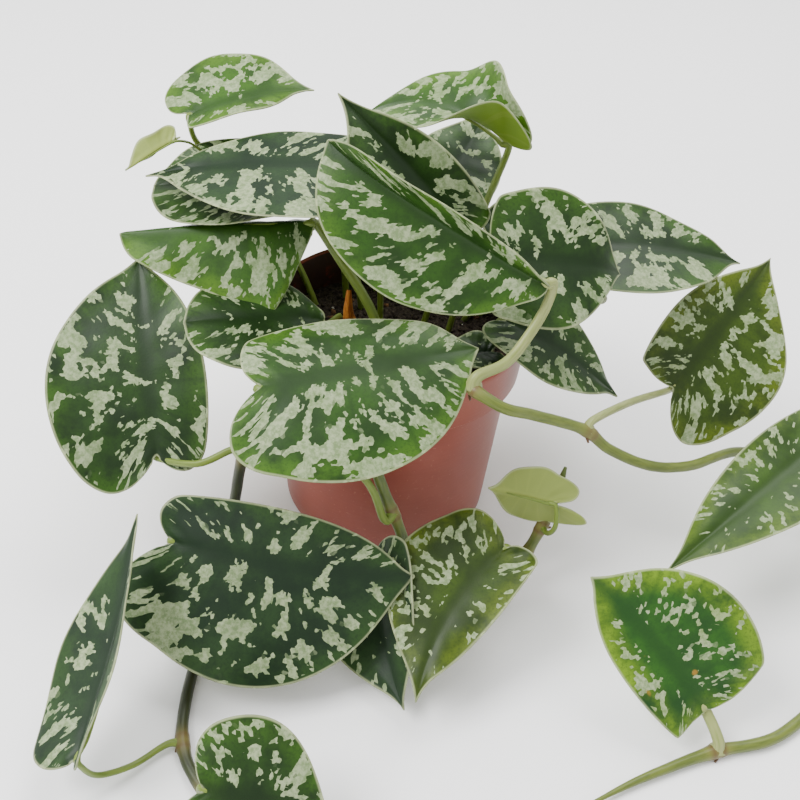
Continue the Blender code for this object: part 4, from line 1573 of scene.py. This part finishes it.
VINES = (
    Vine("vine_left", (
        (-14, -22, 92), (-20, -33, 104), (-32, -46, 111), (-43, -56, 108), (-52, -63, 94), (-59, -67, 74),
        (-63, -70, 50), (-66, -78, 26), (-71, -94, 8), (-72, -116, 3), (-72, -140, 3), (-69, -160, 3),
        (-60, -175, 3), (-44, -188, 3), (-24, -194, 3))),
    Vine("vine_front", (
        (4, -28, 92), (4, -42, 104), (2, -56, 110.5), (-1, -66, 108), (-4, -72, 97), (-4, -75, 84),
        (2, -77, 66), (9, -80, 50), (15, -82, 32), (22, -84, 14), (32, -86, 5), (44, -84, 3), (56, -76, 9),
        (66, -67, 22), (73, -60, 38), (77, -54, 50), (79, -50, 58), (80, -48, 64))),
    Vine("vine_right", (
        (20, -26, 92), (24, -40, 104), (29, -52, 111), (36, -61, 112), (47, -64, 108), (60, -57, 100),
        (84, -47, 86), (98, -45, 74), (119, -40, 62), (141, -29, 54), (171, -7, 46), (205, 6, 28),
        (224, -20, 10), (222, -62, 3), (206, -102, 3), (174, -133, 3), (143, -144, 3), (113, -158, 3),
        (92, -170, 3))),
)


@dataclass
class Foliage:
    """All of the vines and leaves."""

    vine_skins: tuple[StemFinish, ...] = (
        StemFinish("dark_vine_skin", paint(44, 52, 22), paint(28, 34, 14)),
        StemFinish("vine_skin", paint(82, 96, 34), paint(58, 72, 22)),
        StemFinish("fresh_vine_skin", paint(94, 106, 34), paint(70, 84, 22)))
    petiole_skin: StemFinish = StemFinish("petiole_skin", paint(104, 122, 42), paint(80, 100, 28))
    pale_skin: StemFinish = StemFinish("pale_petiole_skin", paint(142, 148, 92), paint(118, 130, 66))
    nub_skin: StemFinish = StemFinish("root_nub_skin", paint(92, 64, 36), paint(58, 38, 20))
    sink: float = 7.0
    side_leaf: str = "crown_leaf_10"

    def anchor(self, leaf: Leaf) -> Vector:
        """Find where a leaf's petiole starts. That of the side leaf starts on its neighbour's petiole.

        Args:
            leaf: The leaf.

        Returns:
            A place inside its vine, inside the soil or on the neighbour.
        """
        for vine in VINES:
            if leaf.name.startswith(vine.name):
                return vine.nearest(leaf.root)
        if leaf.name == self.side_leaf:
            return Vector(leaf.root)
        return Vector(leaf.root) - Vector((0, 0, self.sink))

    def build(self) -> None:
        """Build the vines with their nubs, then each leaf."""
        nub_skin, petiole_skin, pale_skin = (
            finish.build() for finish in (self.nub_skin, self.petiole_skin, self.pale_skin))
        for vine, finish in zip(VINES, self.vine_skins):
            roots = [vine.nearest(leaf.root) for leaf in LEAVES if leaf.name.startswith(vine.name)]
            settle(vine.build(roots, finish.build()), "green_stem", vine.name)
            settle(vine.build_nubs(roots, nub_skin), "green_stem")
        for leaf in LEAVES:
            settle(leaf.build_blade(), leaf.slot, leaf.name)
            skin = pale_skin if leaf.pale else petiole_skin
            settle(leaf.build_petiole(self.anchor(leaf), skin), "green_stem")


@dataclass(frozen=True)
class Lamp:
    """A square lamp: its place and size in metres, and its power in watts."""

    name: str
    place: Place
    size: float
    power: float


@dataclass
class Studio:
    """The pale floor, soft light and camera. The camera's angles are in degrees, and its eye is in mm."""

    tilt: float = 50.0
    roll: float = 5.0
    lens: float = 43.46
    eye: Place = (4.5, -360.0, 356.1)
    near_limit: float = 0.01
    floor_size: float = 8.0
    lamps: tuple[Lamp, ...] = (
        Lamp("window_lamp", (-0.9, -0.3, 1.2), 0.7, 30), Lamp("top_lamp", (0.3, 0.7, 1.5), 1.0, 26))
    aim: Place = (0.0, 0.0, 0.08)
    daylight: float = 1.3

    def build_floor(self) -> None:
        """Lay a wide pale floor, which isn't part of the plant."""
        clear_selection()
        bpy.ops.mesh.primitive_plane_add(size=self.floor_size)
        floor = bpy.context.object
        floor.name = "studio_floor"
        recipe = Recipe("studio_paper", 0.9, specular=0.1)
        floor.data.materials.append(recipe.finish(paint(250, 250, 250)))

    def hang(self, lamp: Lamp) -> None:
        """Hang a lamp that faces the plant.

        Args:
            lamp: The lamp.
        """
        clear_selection()
        bpy.ops.object.light_add(type="AREA", location=lamp.place)
        light = bpy.context.object
        light.name = lamp.name
        light.data.size = lamp.size
        light.data.energy = lamp.power
        light.rotation_euler = (Vector(self.aim) - Vector(lamp.place)).to_track_quat("-Z", "Y").to_euler()

    def build_daylight(self) -> None:
        """Fill the room with even white light."""
        world = bpy.data.worlds.new("daylight")
        world.use_nodes = True
        background = world.node_tree.nodes["Background"]
        background.inputs["Color"].default_value = (1, 1, 1, 1)
        background.inputs["Strength"].default_value = self.daylight
        bpy.context.scene.world = world

    def build_camera(self) -> None:
        """Place the camera and make it the scene's."""
        clear_selection()
        bpy.ops.object.camera_add()
        camera = bpy.context.object
        camera.name = "portrait_camera"
        camera.data.lens = self.lens
        camera.data.clip_start = self.near_limit
        tilted = Matrix.Rotation(math.radians(self.tilt), 4, "X")
        rolled = Matrix.Rotation(math.radians(self.roll), 4, "Z")
        camera.matrix_world = Matrix.Translation(Vector(self.eye) * MM) @ tilted @ rolled
        bpy.context.scene.camera = camera

    def build(self) -> None:
        """Set up the floor, the lamps, the daylight and the camera."""
        self.build_floor()
        for lamp in self.lamps:
            self.hang(lamp)
        self.build_daylight()
        self.build_camera()


def main() -> None:
    """Build every sub-assembly in order."""
    logging.basicConfig(level=logging.INFO, format="%(name)s %(message)s")
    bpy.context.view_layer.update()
    Studio().build()
    Pot().build()
    Soil().build()
    DriedSheath().build()
    Foliage().build()


if __name__ == "__main__":
    main()
